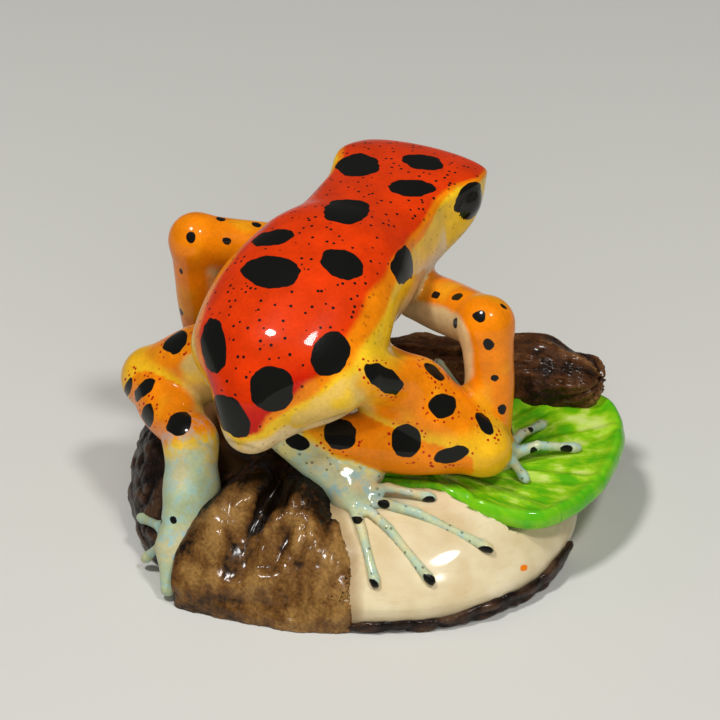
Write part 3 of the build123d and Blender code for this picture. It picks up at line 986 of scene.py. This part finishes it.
# Leaf: a tilted pad with its outline and veins as shares of the base's half sizes
LEAF_EDGE_SHARES = [
    (-0.13, 0.31), (-0.24, 0.06), (-0.30, -0.26), (-0.42, -0.58), (-0.60, -0.76),
    (-0.80, -0.77), (-0.95, -0.54), (-1.00, -0.17), (-0.90, 0.17), (-0.66, 0.27),
    (-0.42, 0.25), (-0.22, 0.34),
]
VEIN_ROOT_SHARES = (-0.30, 0.10)
VEIN_TIP_SHARES = [(-0.60, -0.70), (-0.86, -0.58), (-0.94, -0.20), (-0.82, 0.10), (-0.55, 0.20)]
LEAF_SLOPE_X = math.tan(math.radians(5.0))
LEAF_SLOPE_Y = math.tan(math.radians(2.0))
LEAF_SOFTNESS = 1.1
VEIN_HEIGHT = 0.32
VEIN_WIDTH = 0.45
GROOVE_DEPTH = 0.16
GROOVE_WIDTH = 0.4
GROOVE_OFFSET = 0.9
SEAT_GAP = 0.2
SEAT_SINK = 0.15
leaf_middle = on_base(-0.60, -0.25, 0.77)
leaf_normal = unit((-LEAF_SLOPE_X, LEAF_SLOPE_Y, 1.0))
leaf_across = unit((1.0, 0.0, LEAF_SLOPE_X))
leaf_along = np.cross(leaf_normal, leaf_across)


def leaf_flat(shares):
    """Places in the leaf's own plane."""
    return np.array([at_shares(x, y, 0)[:2] for x, y in shares]) - leaf_middle[:2]


def round_outline(corners, samples=8):
    """A closed smooth line through the corners."""
    share = np.arange(samples)[:, None] / samples
    here, before, after, beyond = (
        np.roll(corners, turn, axis=0)[:, None] for turn in (0, 1, -1, -2)
    )
    line = (
        2 * here
        + (after - before) * share
        + (2 * before - 5 * here + 4 * after - beyond) * share**2
        + (3 * here - before - 3 * after + beyond) * share**3
    )
    return line.reshape(-1, 2) / 2


leaf_outline = round_outline(leaf_flat(LEAF_EDGE_SHARES))
vein_root = leaf_flat([VEIN_ROOT_SHARES])[0]
vein_tips = leaf_flat(VEIN_TIP_SHARES)


def edge_distance(flat):
    """Signed distance to the leaf's outline, negative inside."""
    x, y = flat.T
    nearest = np.full(len(flat), np.inf)
    inside = np.zeros(len(flat), bool)
    for start, end in zip(leaf_outline, np.roll(leaf_outline, -1, axis=0)):
        nearest = np.minimum(nearest, from_line(flat, start, end)[0])
        crosses = (start[1] > y) != (end[1] > y)
        run, rise = end - start
        inside ^= crosses & (x < start[0] + (y - start[1]) * run / (rise or 1))
    return np.where(inside, -nearest, nearest)


def leaf_place(points):
    off = points - leaf_middle
    return np.column_stack((off @ leaf_across, off @ leaf_along)), off @ leaf_normal


def leaf_distance(points):
    flat, height = leaf_place(points)
    edge = edge_distance(flat)
    rim = bell(edge + 0.5 * LEAF_RIM_WIDTH, 0.55 * LEAF_RIM_WIDTH)
    top = LEAF_THICKNESS + LEAF_RIM_HEIGHT * rim + 0.12 * noise(points, 2.5)
    for tip in vein_tips:
        gap, share = from_line(flat, vein_root, tip)
        top = top + VEIN_HEIGHT * (1 - 0.6 * share) * bell(gap, VEIN_WIDTH)
        top = top - GROOVE_DEPTH * bell(gap - GROOVE_OFFSET, GROOVE_WIDTH)
    slab = np.maximum(height - top, -height)
    return carve(edge + 0.1 * noise(points, 1.5), slab, LEAF_SOFTNESS)


def nut_core_distance(points):
    """The nut's block with its uneven surface and the leaf's seat."""
    flat, height = leaf_place(points)
    seat = np.maximum(edge_distance(flat) + SEAT_GAP, -height - SEAT_SINK)
    block = nut_distance(points) + 0.12 + 0.12 * noise(points, 6.0) + 0.05 * noise(points, 2.2)
    return carve(np.maximum(block, -points[:, 2]), -seat, 0.3)


# Bark lobe: stations along its fall, with the middle, half width and height at each
LOBE_STATION_SHARES = [
    (0.22, 0.20, 0.52, 0.97),
    (0.18, 0.52, 0.68, 0.93),
    (0.13, 0.74, 0.88, 0.76),
    (0.09, 0.88, 1.03, 0.53),
    (0.06, 0.95, 1.03, 0.34),
    (0.05, 1.00, 0.80, 0.12),
]
LOBE_SHOULDER_SHARE = 0.65
LOBE_CORNER_CUT = 0.8
LOBE_TURN = math.radians(12.0)
lobe_down = np.array((-math.sin(LOBE_TURN), math.cos(LOBE_TURN), 0.0))
lobe_across = np.array((math.cos(LOBE_TURN), math.sin(LOBE_TURN), 0.0))
lobe_middles = np.array([on_base(*row[:2], 0) for row in LOBE_STATION_SHARES])
lobe_run_table, lobe_side_table, lobe_width_table, lobe_height_table = smooth_curves(
    lobe_middles @ lobe_down,
    lobe_middles @ lobe_across,
    [row[2] * LOBE_HALF_WIDTH for row in LOBE_STATION_SHARES],
    [row[3] * LOBE_HEIGHT for row in LOBE_STATION_SHARES],
)


def lobe_place(points):
    run = points @ lobe_down
    return run, points @ lobe_across - np.interp(run, lobe_run_table, lobe_side_table)


def lobe_grain(points):
    """Height of the bark's long wavy folds, 0 in a groove."""
    run, side = lobe_place(points)
    bent = np.column_stack((side + 1.2 * noise(points, 5.0), 0.3 * run, 0.4 * points[:, 2]))
    fine = np.column_stack((side * 1.3, 0.5 * run, 0.7 * points[:, 2]))
    return 0.7 * ridged(bent, 4.2) + 0.3 * ridged(fine, 1.5)


def lobe_bulk_distance(points):
    """The lobe before its folds are carved."""
    run, side = lobe_place(points)
    half_width = np.interp(run, lobe_run_table, lobe_width_table)
    height = np.interp(run, lobe_run_table, lobe_height_table)
    shoulder = LOBE_SHOULDER_SHARE * height
    above = np.maximum(points[:, 2] - shoulder, 0)
    level = np.hypot(side / half_width, above / (height - shoulder))
    size = np.hypot(side, above) / np.maximum(level, THINNEST)
    front = run - lobe_run_table[-1] + LOBE_CORNER_CUT * np.abs(side / half_width) ** 3
    return carve(0.8 * (level - 1) * size, np.maximum(lobe_run_table[0] - run, front), 0.8)


# Folds of the lobe: two ends of each in the photograph, its height (a hollow is negative)
# and its half width, both in millimetres
LOBE_FOLDS_PX = [
    ((213, 514), (204, 566), 1.2, 2.6),
    ((252, 524), (234, 566), -1.7, 1.8),
    ((262, 500), (250, 524), -0.9, 1.2),
    ((238, 490), (250, 508), 0.7, 1.4),
    ((282, 458), (264, 512), -0.9, 1.1),
    ((293, 527), (268, 566), -0.7, 0.8),
    ((276, 520), (262, 556), 0.4, 1.2),
    ((300, 486), (286, 516), 0.7, 1.5),
    ((316, 500), (306, 566), 0.5, 2.2),
    ((186, 574), (232, 584), 0.6, 1.0),
    ((232, 584), (286, 578), 0.6, 1.1),
    ((176, 590), (232, 601), -0.5, 0.7),
    ((232, 601), (286, 604), -0.45, 0.6),
    ((286, 603), (306, 584), -0.4, 0.6),
    ((193, 540), (186, 566), -0.5, 0.7),
    ((328, 540), (334, 602), 0.5, 2.0),
]
FOLDED_GAP = 4
LOBE_GRAIN_HEIGHT = 0.9
LOBE_GRAIN_LEVEL = 0.42
lobe_folds_placed = [
    (*hits(lobe_bulk_distance, ends), height, width) for *ends, height, width in LOBE_FOLDS_PX
]


def lobe_folds(points):
    """How far the listed bosses and hollows push the bark out."""
    total = np.zeros(len(points))
    bent = points + 0.7 * noise(points, 2.6)[:, None]
    for start, end, height, width in lobe_folds_placed:
        total += height * bell(from_line(bent, start, end)[0], width)
    return total


def lobe_distance(points):
    bulk = lobe_bulk_distance(points)
    near = bulk < FOLDED_GAP
    result = bulk - 0.5
    grain = LOBE_GRAIN_HEIGHT * (lobe_grain(points[near]) - LOBE_GRAIN_LEVEL)
    result[near] = bulk[near] - lobe_folds(points[near]) - grain
    return np.maximum(result, -points[:, 2])


def bark_lobe_distance(points):
    return np.maximum(0.8 * lobe_distance(points), -nut_distance(points) - BARK_SINK)


# Bark ridge: a wavy log along the rear edge, with its swelling along it
LOG_SWELL_SHARES = [
    (-0.2, 0.45), (0.0, 0.62), (0.20, 0.80), (0.40, 0.80), (0.62, 0.95), (0.84, 0.96), (1.0, 0.64),
]
LOG_GRAIN_HEIGHT = 1.1
LOG_GRAIN_LEVEL = 0.40
log_start = on_base(0.28, -0.72, 0.66)
log_end = on_base(-0.63, -0.73, 1.16)
log_axis = unit(log_end - log_start)
log_side = unit(np.cross(log_axis, (0, 0, 1)))
log_up = np.cross(log_side, log_axis)
swell_places, swell_values = smooth_curves(*zip(*LOG_SWELL_SHARES))


def log_grain(points):
    off = points - log_start
    turn = np.arctan2(off @ log_up, off @ log_side)
    round_log = (LOG_RADIUS * np.cos(turn), LOG_RADIUS * np.sin(turn))
    bent = np.column_stack((off @ log_axis * 0.16, *round_log))
    bent[:, 1:] += 0.9 * noise(points * (0.5, 1, 1), 4.0)[:, None]
    return 0.75 * ridged(bent, 2.2) + 0.25 * ridged(bent * 1.7, 1.2)


def log_distance(points):
    gap, share = from_line(points, log_start, log_end)
    radius = LOG_RADIUS * np.interp(share, swell_places, swell_values)
    return gap - radius + LOG_GRAIN_HEIGHT * (LOG_GRAIN_LEVEL - log_grain(points))


def bark_ridge_distance(points):
    return np.maximum(0.85 * log_distance(points), -nut_distance(points) - BARK_SINK)


# Skins: what is left of the nut's shell, over a range of angles and up to a height
SKIN_GRAIN_HEIGHT = 0.35
SKIN_GRAIN_LEVEL = 0.35
SKIN_EDGE_SOFTNESS = 0.6
SIDE_SKIN_TURNS = (-38.0, 52.0)
RIM_SKIN_TURNS = (106, 125, 160, 183)
RIM_SKIN_SHARES = (0.3, 0.6, 0.9, 1.0)


def turn_of(points):
    return np.degrees(np.arctan2(points[:, 1], points[:, 0]))


def skin_grain(points):
    return ridged(points * (1, 1, 1.6), 2.4)


def skin_distance(points, start_angle, end_angle, height, thickness_share):
    middle = (start_angle + end_angle) / 2
    away = np.abs((turn_of(points) - middle + 180) % 360 - 180) - (end_angle - start_angle) / 2
    ends = np.radians(away) * length(points[:, :2])
    ragged = 0.5 * noise(points, 2.6) + 0.2 * noise(points, 1.0)
    outer = nut_distance(points, thickness_share * SKIN_THICKNESS)
    outer = outer + SKIN_GRAIN_HEIGHT * (SKIN_GRAIN_LEVEL - skin_grain(points))
    shell = np.maximum(outer, -nut_distance(points) - SKIN_SINK)
    shell = carve(shell, ends + ragged, SKIN_EDGE_SOFTNESS)
    shell = np.maximum(shell, -points[:, 2])
    shell = carve(shell, points[:, 2] - height + ragged, SKIN_EDGE_SOFTNESS)
    return np.maximum(shell, -lobe_distance(points) - SKIN_IN_LOBE)


def rim_skin_distance(points):
    height = RIM_HEIGHT * np.interp(turn_of(points) % 360, RIM_SKIN_TURNS, RIM_SKIN_SHARES)
    return skin_distance(points, RIM_SKIN_TURNS[0], RIM_SKIN_TURNS[-1], height, 0.5)


def side_skin_distance(points):
    return skin_distance(points, *SIDE_SKIN_TURNS, SIDE_SKIN_HEIGHT, 1.0)


# Painted values of the base's pieces
# Painted shadow under the rump: its middle, its soft half width, and its soft top and foot
RUMP_SHADOW_MIDDLE_PX = 252
RUMP_SHADOW_REACH_PX = (36, 46)
RUMP_SHADOW_TOP_PX = (405, 420)
RUMP_SHADOW_FOOT_PX = (496, 512)


def paint_nut(points):
    """The stain by the bark and the lower edge, the painted shadow under the rump, and a dab."""
    near_bark = 1 - within(np.minimum(lobe_distance(points), log_distance(points)), 0.2, 1.4)
    near_edge = within(-nut_distance(points) - points[:, 2], -2.0, 0.5)
    across, down = to_pixels(points).T
    off_middle = np.abs(across - RUMP_SHADOW_MIDDLE_PX) + 4 * noise(points, 2.5)
    # Painted shadow: a dark patch on the nut where the rump hangs over it
    burnt = within(down, *RUMP_SHADOW_TOP_PX) * (1 - within(down, *RUMP_SHADOW_FOOT_PX))
    return {
        "stain": np.maximum(near_bark, 0.25 * near_edge),
        "burnt": burnt * (1 - within(off_middle, *RUMP_SHADOW_REACH_PX)),
        "dab": spot_distance(points, nut_core_distance, DAB_PX),
    }


def paint_lobe(points):
    """Grain of the bark, and the painted shadow that darkens it under the frog's rump."""
    run, side = lobe_place(points)
    # Painted shadow: the lobe's top, under the rump, is pushed to its darkest colour
    dark = 1 - within(run + 1.5 * noise(points, 3.0), 12.5, 17.5)
    level = lobe_grain(points) + 0.3 * lobe_folds(points) + 0.12 * noise(points, 2.0)
    return {"grain": np.clip(level - dark, 0, 1)}


def paint_ridge(points):
    return {"grain": log_grain(points)}


def paint_skin(points):
    return {"grain": skin_grain(points)}


def paint_leaf(points):
    """The rim, the pale hollow and the run of the brush strokes from the veins' root."""
    flat, height = leaf_place(points)
    edge = edge_distance(flat)
    off = flat - vein_root
    turn = np.arctan2(off[:, 1], off[:, 0])
    return {
        "rim": bell(edge + 0.4, 1.1),
        "pale": within(-edge, 1.0, 3.2),
        "stroke": np.column_stack((turn * 9.0, length(off) * 0.22, height * 0.2)),
    }


# Materials: the paint itself shines little under its varnish
UNDER_VARNISH = 0.05


class Paint:
    """A material built from procedural nodes, with sizes in millimetres."""

    def __init__(self, name):
        self.material = bpy.data.materials.new(name)
        self.material.use_nodes = True
        self.tree = self.material.node_tree
        self.tree.nodes.clear()
        place = self.node("TexCoord").outputs["Object"]
        scale = self.node("VectorMath", {0: place, 3: 1 / MM}, operation="SCALE")
        self.place = scale.outputs[0]

    def node(self, kind, inputs=None, **settings):
        """A shader node with its settings, and its sockets linked or set."""
        made = self.tree.nodes.new("ShaderNode" + kind)
        for key, value in settings.items():
            setattr(made, key, value)
        for socket, value in (inputs or {}).items():
            if isinstance(value, bpy.types.NodeSocket):
                self.tree.links.new(value, made.inputs[socket])
            else:
                made.inputs[socket].default_value = value
        return made

    def noise(self, size, detail=2.0, rough=0.5, place=None):
        inputs = {"Scale": 1 / size, "Detail": detail, "Roughness": rough}
        inputs["Vector"] = place or self.place
        return self.node("TexNoise", inputs).outputs["Fac"]

    def cells(self, size):
        inputs = {"Vector": self.place, "Scale": 1 / size}
        return self.node("TexVoronoi", inputs).outputs["Distance"]

    def painted(self, name, output="Fac"):
        return self.node("Attribute", attribute_name=name).outputs[output]

    def math(self, operation, *values):
        return self.node("Math", dict(enumerate(values)), operation=operation).outputs[0]

    def product(self, *values):
        return functools.reduce(functools.partial(self.math, "MULTIPLY"), values)

    def fit(self, value, start, end, low=0.0, high=1.0):
        """The value stretched from one range to another, and held at its ends."""
        inputs = {"Value": value, "From Min": start, "From Max": end, "To Min": low, "To Max": high}
        return self.node("MapRange", inputs).outputs["Result"]

    def mix(self, share, first, second, blend_type="MIX"):
        first, second = (
            (*colour, 1.0) if isinstance(colour, tuple) else colour for colour in (first, second)
        )
        inputs = {0: share, 6: first, 7: second}
        return self.node("Mix", inputs, data_type="RGBA", blend_type=blend_type).outputs[2]

    def shaded(self, colour, shade):
        grey = self.node("CombineColor", {0: shade, 1: shade, 2: shade}).outputs[0]
        return self.mix(1.0, colour, grey, "MULTIPLY")

    def finish(self, colour, roughness, coat, coat_roughness, relief, strength, depth):
        """Varnish over the paint, with a fine relief of this depth."""
        bump = {"Height": relief, "Strength": strength, "Distance": depth * MM}
        inputs = {
            "Base Color": colour,
            "Roughness": roughness,
            "Normal": self.node("Bump", bump).outputs["Normal"],
            "Specular IOR Level": UNDER_VARNISH,
            "Coat Weight": coat,
            "Coat Roughness": coat_roughness,
        }
        shader = self.node("BsdfPrincipled", inputs)
        self.node("OutputMaterial", {"Surface": shader.outputs[0]})
        return self.material


def make_frog_skin():
    """Hand-painted skin: spots, dots, red stipple and blue streaks under a clear varnish."""
    paint = Paint("frog_skin")
    wobble = paint.fit(paint.noise(1.3, 1.0), 0.3, 0.7, -0.13, 0.13)
    spot = paint.math("ADD", paint.painted("spot"), wobble)
    broad = paint.fit(paint.noise(2.4, 3.0), 0.3, 0.7, 0.86, 1.12)
    brush = paint.fit(paint.noise(0.35), 0.3, 0.7, 0.93, 1.06)
    colour = paint.shaded(paint.painted("paint", "Color"), paint.product(broad, brush))
    streak = paint.fit(paint.noise(1.1, 4.0, 0.65), 0.47, 0.6)
    streak = paint.product(streak, paint.painted("streaks"), 0.85)
    colour = paint.mix(streak, colour, (0.25, 0.50, 0.55))
    stipple = paint.fit(paint.cells(0.55), 0.34, 0.24)
    ring = paint.math("COMPARE", spot, 0.42, 0.26)
    stipple = paint.product(stipple, ring, paint.painted("rings"))
    colour = paint.mix(stipple, colour, (0.42, 0.012, 0.004))
    dot = paint.fit(paint.cells(0.85), 0.22, 0.18)
    dot = paint.product(dot, paint.painted("dots"), paint.fit(spot, 0.25, 0.4))
    colour = paint.mix(dot, colour, (0.012, 0.006, 0.005))
    colour = paint.mix(paint.fit(spot, 0.03, -0.03), colour, (0.006, 0.006, 0.005))
    bubbles = paint.product(paint.cells(0.32), paint.fit(spot, 0.1, -0.1, 0.12, 0.5))
    relief = paint.math("ADD", paint.product(paint.noise(0.22, 3.0), 0.5), bubbles)
    roughness = paint.fit(broad, 0.8, 1.2, 0.3, 0.42)
    return paint.finish(colour, roughness, 0.38, 0.06, relief, 0.35, 0.06)


def make_eye_paint():
    paint = Paint("eye_paint")
    shade = paint.fit(paint.noise(0.8, 3.0), 0.3, 0.7)
    colour = paint.mix(shade, (0.004, 0.004, 0.004), (0.014, 0.012, 0.010))
    return paint.finish(colour, 0.2, 0.6, 0.05, paint.noise(0.3), 0.25, 0.05)


def make_ivory():
    """Polished nut flesh: cream, faintly mottled, with fine tool marks."""
    paint = Paint("nut_ivory")
    mottle = paint.fit(paint.noise(5.0, 4.0), 0.35, 0.65)
    colour = paint.mix(mottle, (0.64, 0.50, 0.28), (0.78, 0.67, 0.44))
    stretch = {0: paint.place, 1: (0.5, 0.5, 3.0)}
    stretched = paint.node("VectorMath", stretch, operation="MULTIPLY").outputs[0]
    marks = paint.noise(1.2, 4.0, 0.6, stretched)
    colour = paint.mix(paint.fit(marks, 0.55, 0.75, 0.0, 0.3), colour, (0.52, 0.38, 0.2))
    colour = paint.mix(paint.product(paint.painted("stain"), 0.7), colour, (0.30, 0.18, 0.07))
    # Painted shadow under the rump, almost black
    colour = paint.mix(paint.painted("burnt"), colour, (0.020, 0.009, 0.004))
    dab = paint.fit(paint.painted("dab"), 0.05, -0.05)
    colour = paint.mix(dab, colour, (0.85, 0.2, 0.005))
    relief = paint.math("ADD", marks, mottle)
    return paint.finish(colour, 0.28, 0.7, 0.08, relief, 0.25, 0.12)


def make_bark(name, dark, middle, light, gloss):
    """Grooved bark: dark in the grooves, rubbed pale on the crests."""
    paint = Paint(name)
    rough = paint.noise(1.4, 5.0, 0.65)
    fine = paint.noise(0.35, 3.0, 0.6)
    unevenness = paint.fit(rough, 0.3, 0.7, -0.22, 0.22)
    level = paint.math("ADD", paint.painted("grain"), unevenness)
    colour = paint.mix(paint.fit(level, 0.12, 0.45), dark, middle)
    colour = paint.mix(paint.fit(level, 0.5, 0.85, 0.0, 0.85), colour, light)
    colour = paint.shaded(colour, paint.fit(fine, 0.3, 0.7, 0.75, 1.2))
    relief = paint.math("ADD", rough, fine)
    return paint.finish(colour, 0.42, gloss, 0.15, relief, 0.6, 0.25)


def make_leaf_paint():
    """Green paint in radial brush strokes, pale in the hollow and bright on the rim."""
    paint = Paint("leaf_paint")
    strokes = paint.noise(1.0, 5.0, 0.65, paint.painted("stroke", "Vector"))
    share = paint.math("ADD", strokes, paint.product(paint.noise(3.0, 3.0), 0.6))
    colour = paint.mix(paint.fit(share, 0.68, 0.95), (0.09, 0.38, 0.003), (0.42, 0.64, 0.01))
    pale = paint.product(paint.fit(share, 0.82, 1.05), paint.painted("pale"))
    colour = paint.mix(pale, colour, (0.58, 0.68, 0.22))
    rim = paint.product(paint.painted("rim"), 0.7)
    colour = paint.mix(rim, colour, (0.08, 0.45, 0.008))
    return paint.finish(colour, 0.3, 0.6, 0.07, strokes, 0.5, 0.2)


def add_piece(name, node_name, slot, material, points, faces, normals, values):
    piece = make_object(name, points, faces, normals, values)
    piece.data.materials.append(material)
    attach(piece, "root")
    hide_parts(node_name)


# Pieces of the frog
frog_skin = make_frog_skin()
eye_paint = make_eye_paint()
frog_values = paint_frog(frog_points, frog_normals, frog_parts)
SLOTS = {"torso": "frog_red", "head": "frog_red"}
SLOTS.update({name: "eye_black" for name in EYES})
SLOTS.update({name: "frog_orange" for name in LIMBS})
SLOTS.update({name: "frog_pale" for name in PAWS})
for part_number, part_name in enumerate(PART_NAMES):
    patch = frog_quads[quad_part == part_number]
    add_piece(
        part_name + "_skin",
        part_name,
        SLOTS[part_name],
        eye_paint if part_name in EYES else frog_skin,
        *closed_part(frog_points, patch, frog_normals, frog_values),
    )

# Pieces of the base: name, node, slot, material, box, cell, field and painted values
BARK_PAINTS = {
    "bark_wood": ((0.008, 0.004, 0.002), (0.14, 0.06, 0.014), (0.31, 0.165, 0.045), 0.45),
    "ridge_wood": ((0.015, 0.007, 0.004), (0.07, 0.026, 0.009), (0.22, 0.10, 0.035), 0.3),
    "shell_skin": ((0.006, 0.003, 0.002), (0.022, 0.010, 0.006), (0.08, 0.04, 0.02), 0.3),
}
bark_wood, ridge_wood, shell_skin = (make_bark(name, *row) for name, row in BARK_PAINTS.items())
BASE_BOX = (at_shares(-1.15, -1.2, -0.6), at_shares(1.2, 1.25, BASE_HEIGHT + 1.2))
LOBE_BOX = (at_shares(-0.5, 0, -0.6), at_shares(0.75, 1.2, LOBE_HEIGHT + 2.5))
RIDGE_BOX = (at_shares(-1.1, -1.15, 1.0), at_shares(0.65, -0.3, BASE_HEIGHT + 6.5))
LEAF_BOX = (at_shares(-1.1, -0.9, 4.5), at_shares(0, 0.5, BASE_HEIGHT + 3.5))
BASE_PIECES = [
    ("nut_flesh", "nut_core", "nut_ivory", make_ivory(), BASE_BOX, 0.42, nut_core_distance, paint_nut),
    ("lobe_bark", "bark_lobe", "bark", bark_wood, LOBE_BOX, 0.3, bark_lobe_distance, paint_lobe),
    ("ridge_bark", "bark_ridge", "bark", ridge_wood, RIDGE_BOX, 0.3, bark_ridge_distance, paint_ridge),
    ("rim_shell", "nut_skin_rim", "nut_skin", shell_skin, BASE_BOX, 0.33, rim_skin_distance, paint_skin),
    ("side_shell", "nut_skin_side", "nut_skin", shell_skin, BASE_BOX, 0.33, side_skin_distance, paint_skin),
    ("leaf_pad", "leaf", "leaf_green", make_leaf_paint(), LEAF_BOX, 0.3, leaf_distance, paint_leaf),
]
for name, node_name, slot, material, box, cell, field, painter in BASE_PIECES:
    points, quads, normals = surface(field, *box, cell)
    add_piece(name, node_name, slot, material, points, quads, normals, painter(points))


# Stage: a plain pale floor, lamps and the camera, in metres
FLOOR_REACH = 2.0
LAMP_AIM = (0, 0, 0.015)


def make_floor():
    mesh = bpy.data.meshes.new("floor")
    sides = ((-1, -1), (1, -1), (1, 1), (-1, 1))
    corners = [(x * FLOOR_REACH, y * FLOOR_REACH, 0) for x, y in sides]
    mesh.from_pydata(corners, [], [(0, 1, 2, 3)])
    floor = bpy.data.objects.new("floor", mesh)
    bpy.context.scene.collection.objects.link(floor)
    card = bpy.data.materials.new("floor_card")
    card.use_nodes = True
    shader = card.node_tree.nodes["Principled BSDF"]
    shader.inputs["Base Color"].default_value = (0.66, 0.65, 0.60, 1.0)
    shader.inputs["Roughness"].default_value = 0.8
    mesh.materials.append(card)


def make_lamp(name, place, size, power):
    """A round lamp turned to the middle of the figurine."""
    data = bpy.data.lights.new(name, "AREA")
    data.shape = "DISK"
    data.size = size
    data.energy = power
    lamp = bpy.data.objects.new(name, data)
    bpy.context.scene.collection.objects.link(lamp)
    lamp.location = Vector(place)
    lamp.rotation_euler = (Vector(LAMP_AIM) - Vector(place)).to_track_quat("-Z", "Y").to_euler()
    return lamp


make_floor()
make_lamp("key_lamp", (0.10, 0.16, 0.50), 0.09, 1.5)
make_lamp("fill_lamp", (-0.22, 0.10, 0.46), 0.08, 0.9)
front_lamp = make_lamp("front_lamp", (-0.25, 0.42, 0.16), 0.4, 1.0)
front_lamp.visible_glossy = False

world = bpy.data.worlds.new("studio")
bpy.context.scene.world = world
world.use_nodes = True
background = world.node_tree.nodes["Background"]
background.inputs["Color"].default_value = (0.85, 0.85, 0.82, 1.0)
background.inputs["Strength"].default_value = 0.09

camera_data = bpy.data.cameras.new("camera")
camera_data.sensor_width = SENSOR_WIDTH
camera_data.lens = SENSOR_WIDTH * FOCAL_PX / PHOTO_SIZE
camera_data.clip_start = 0.01
camera_data.clip_end = 20
camera = bpy.data.objects.new("camera", camera_data)
bpy.context.scene.collection.objects.link(camera)
turned = Matrix((RIGHT, UP, BACK)).transposed().to_4x4()
turned.translation = Vector(EYE_POINT * MM)
camera.matrix_world = turned
bpy.context.scene.camera = camera
bpy.context.scene.view_settings.view_transform = "Standard"
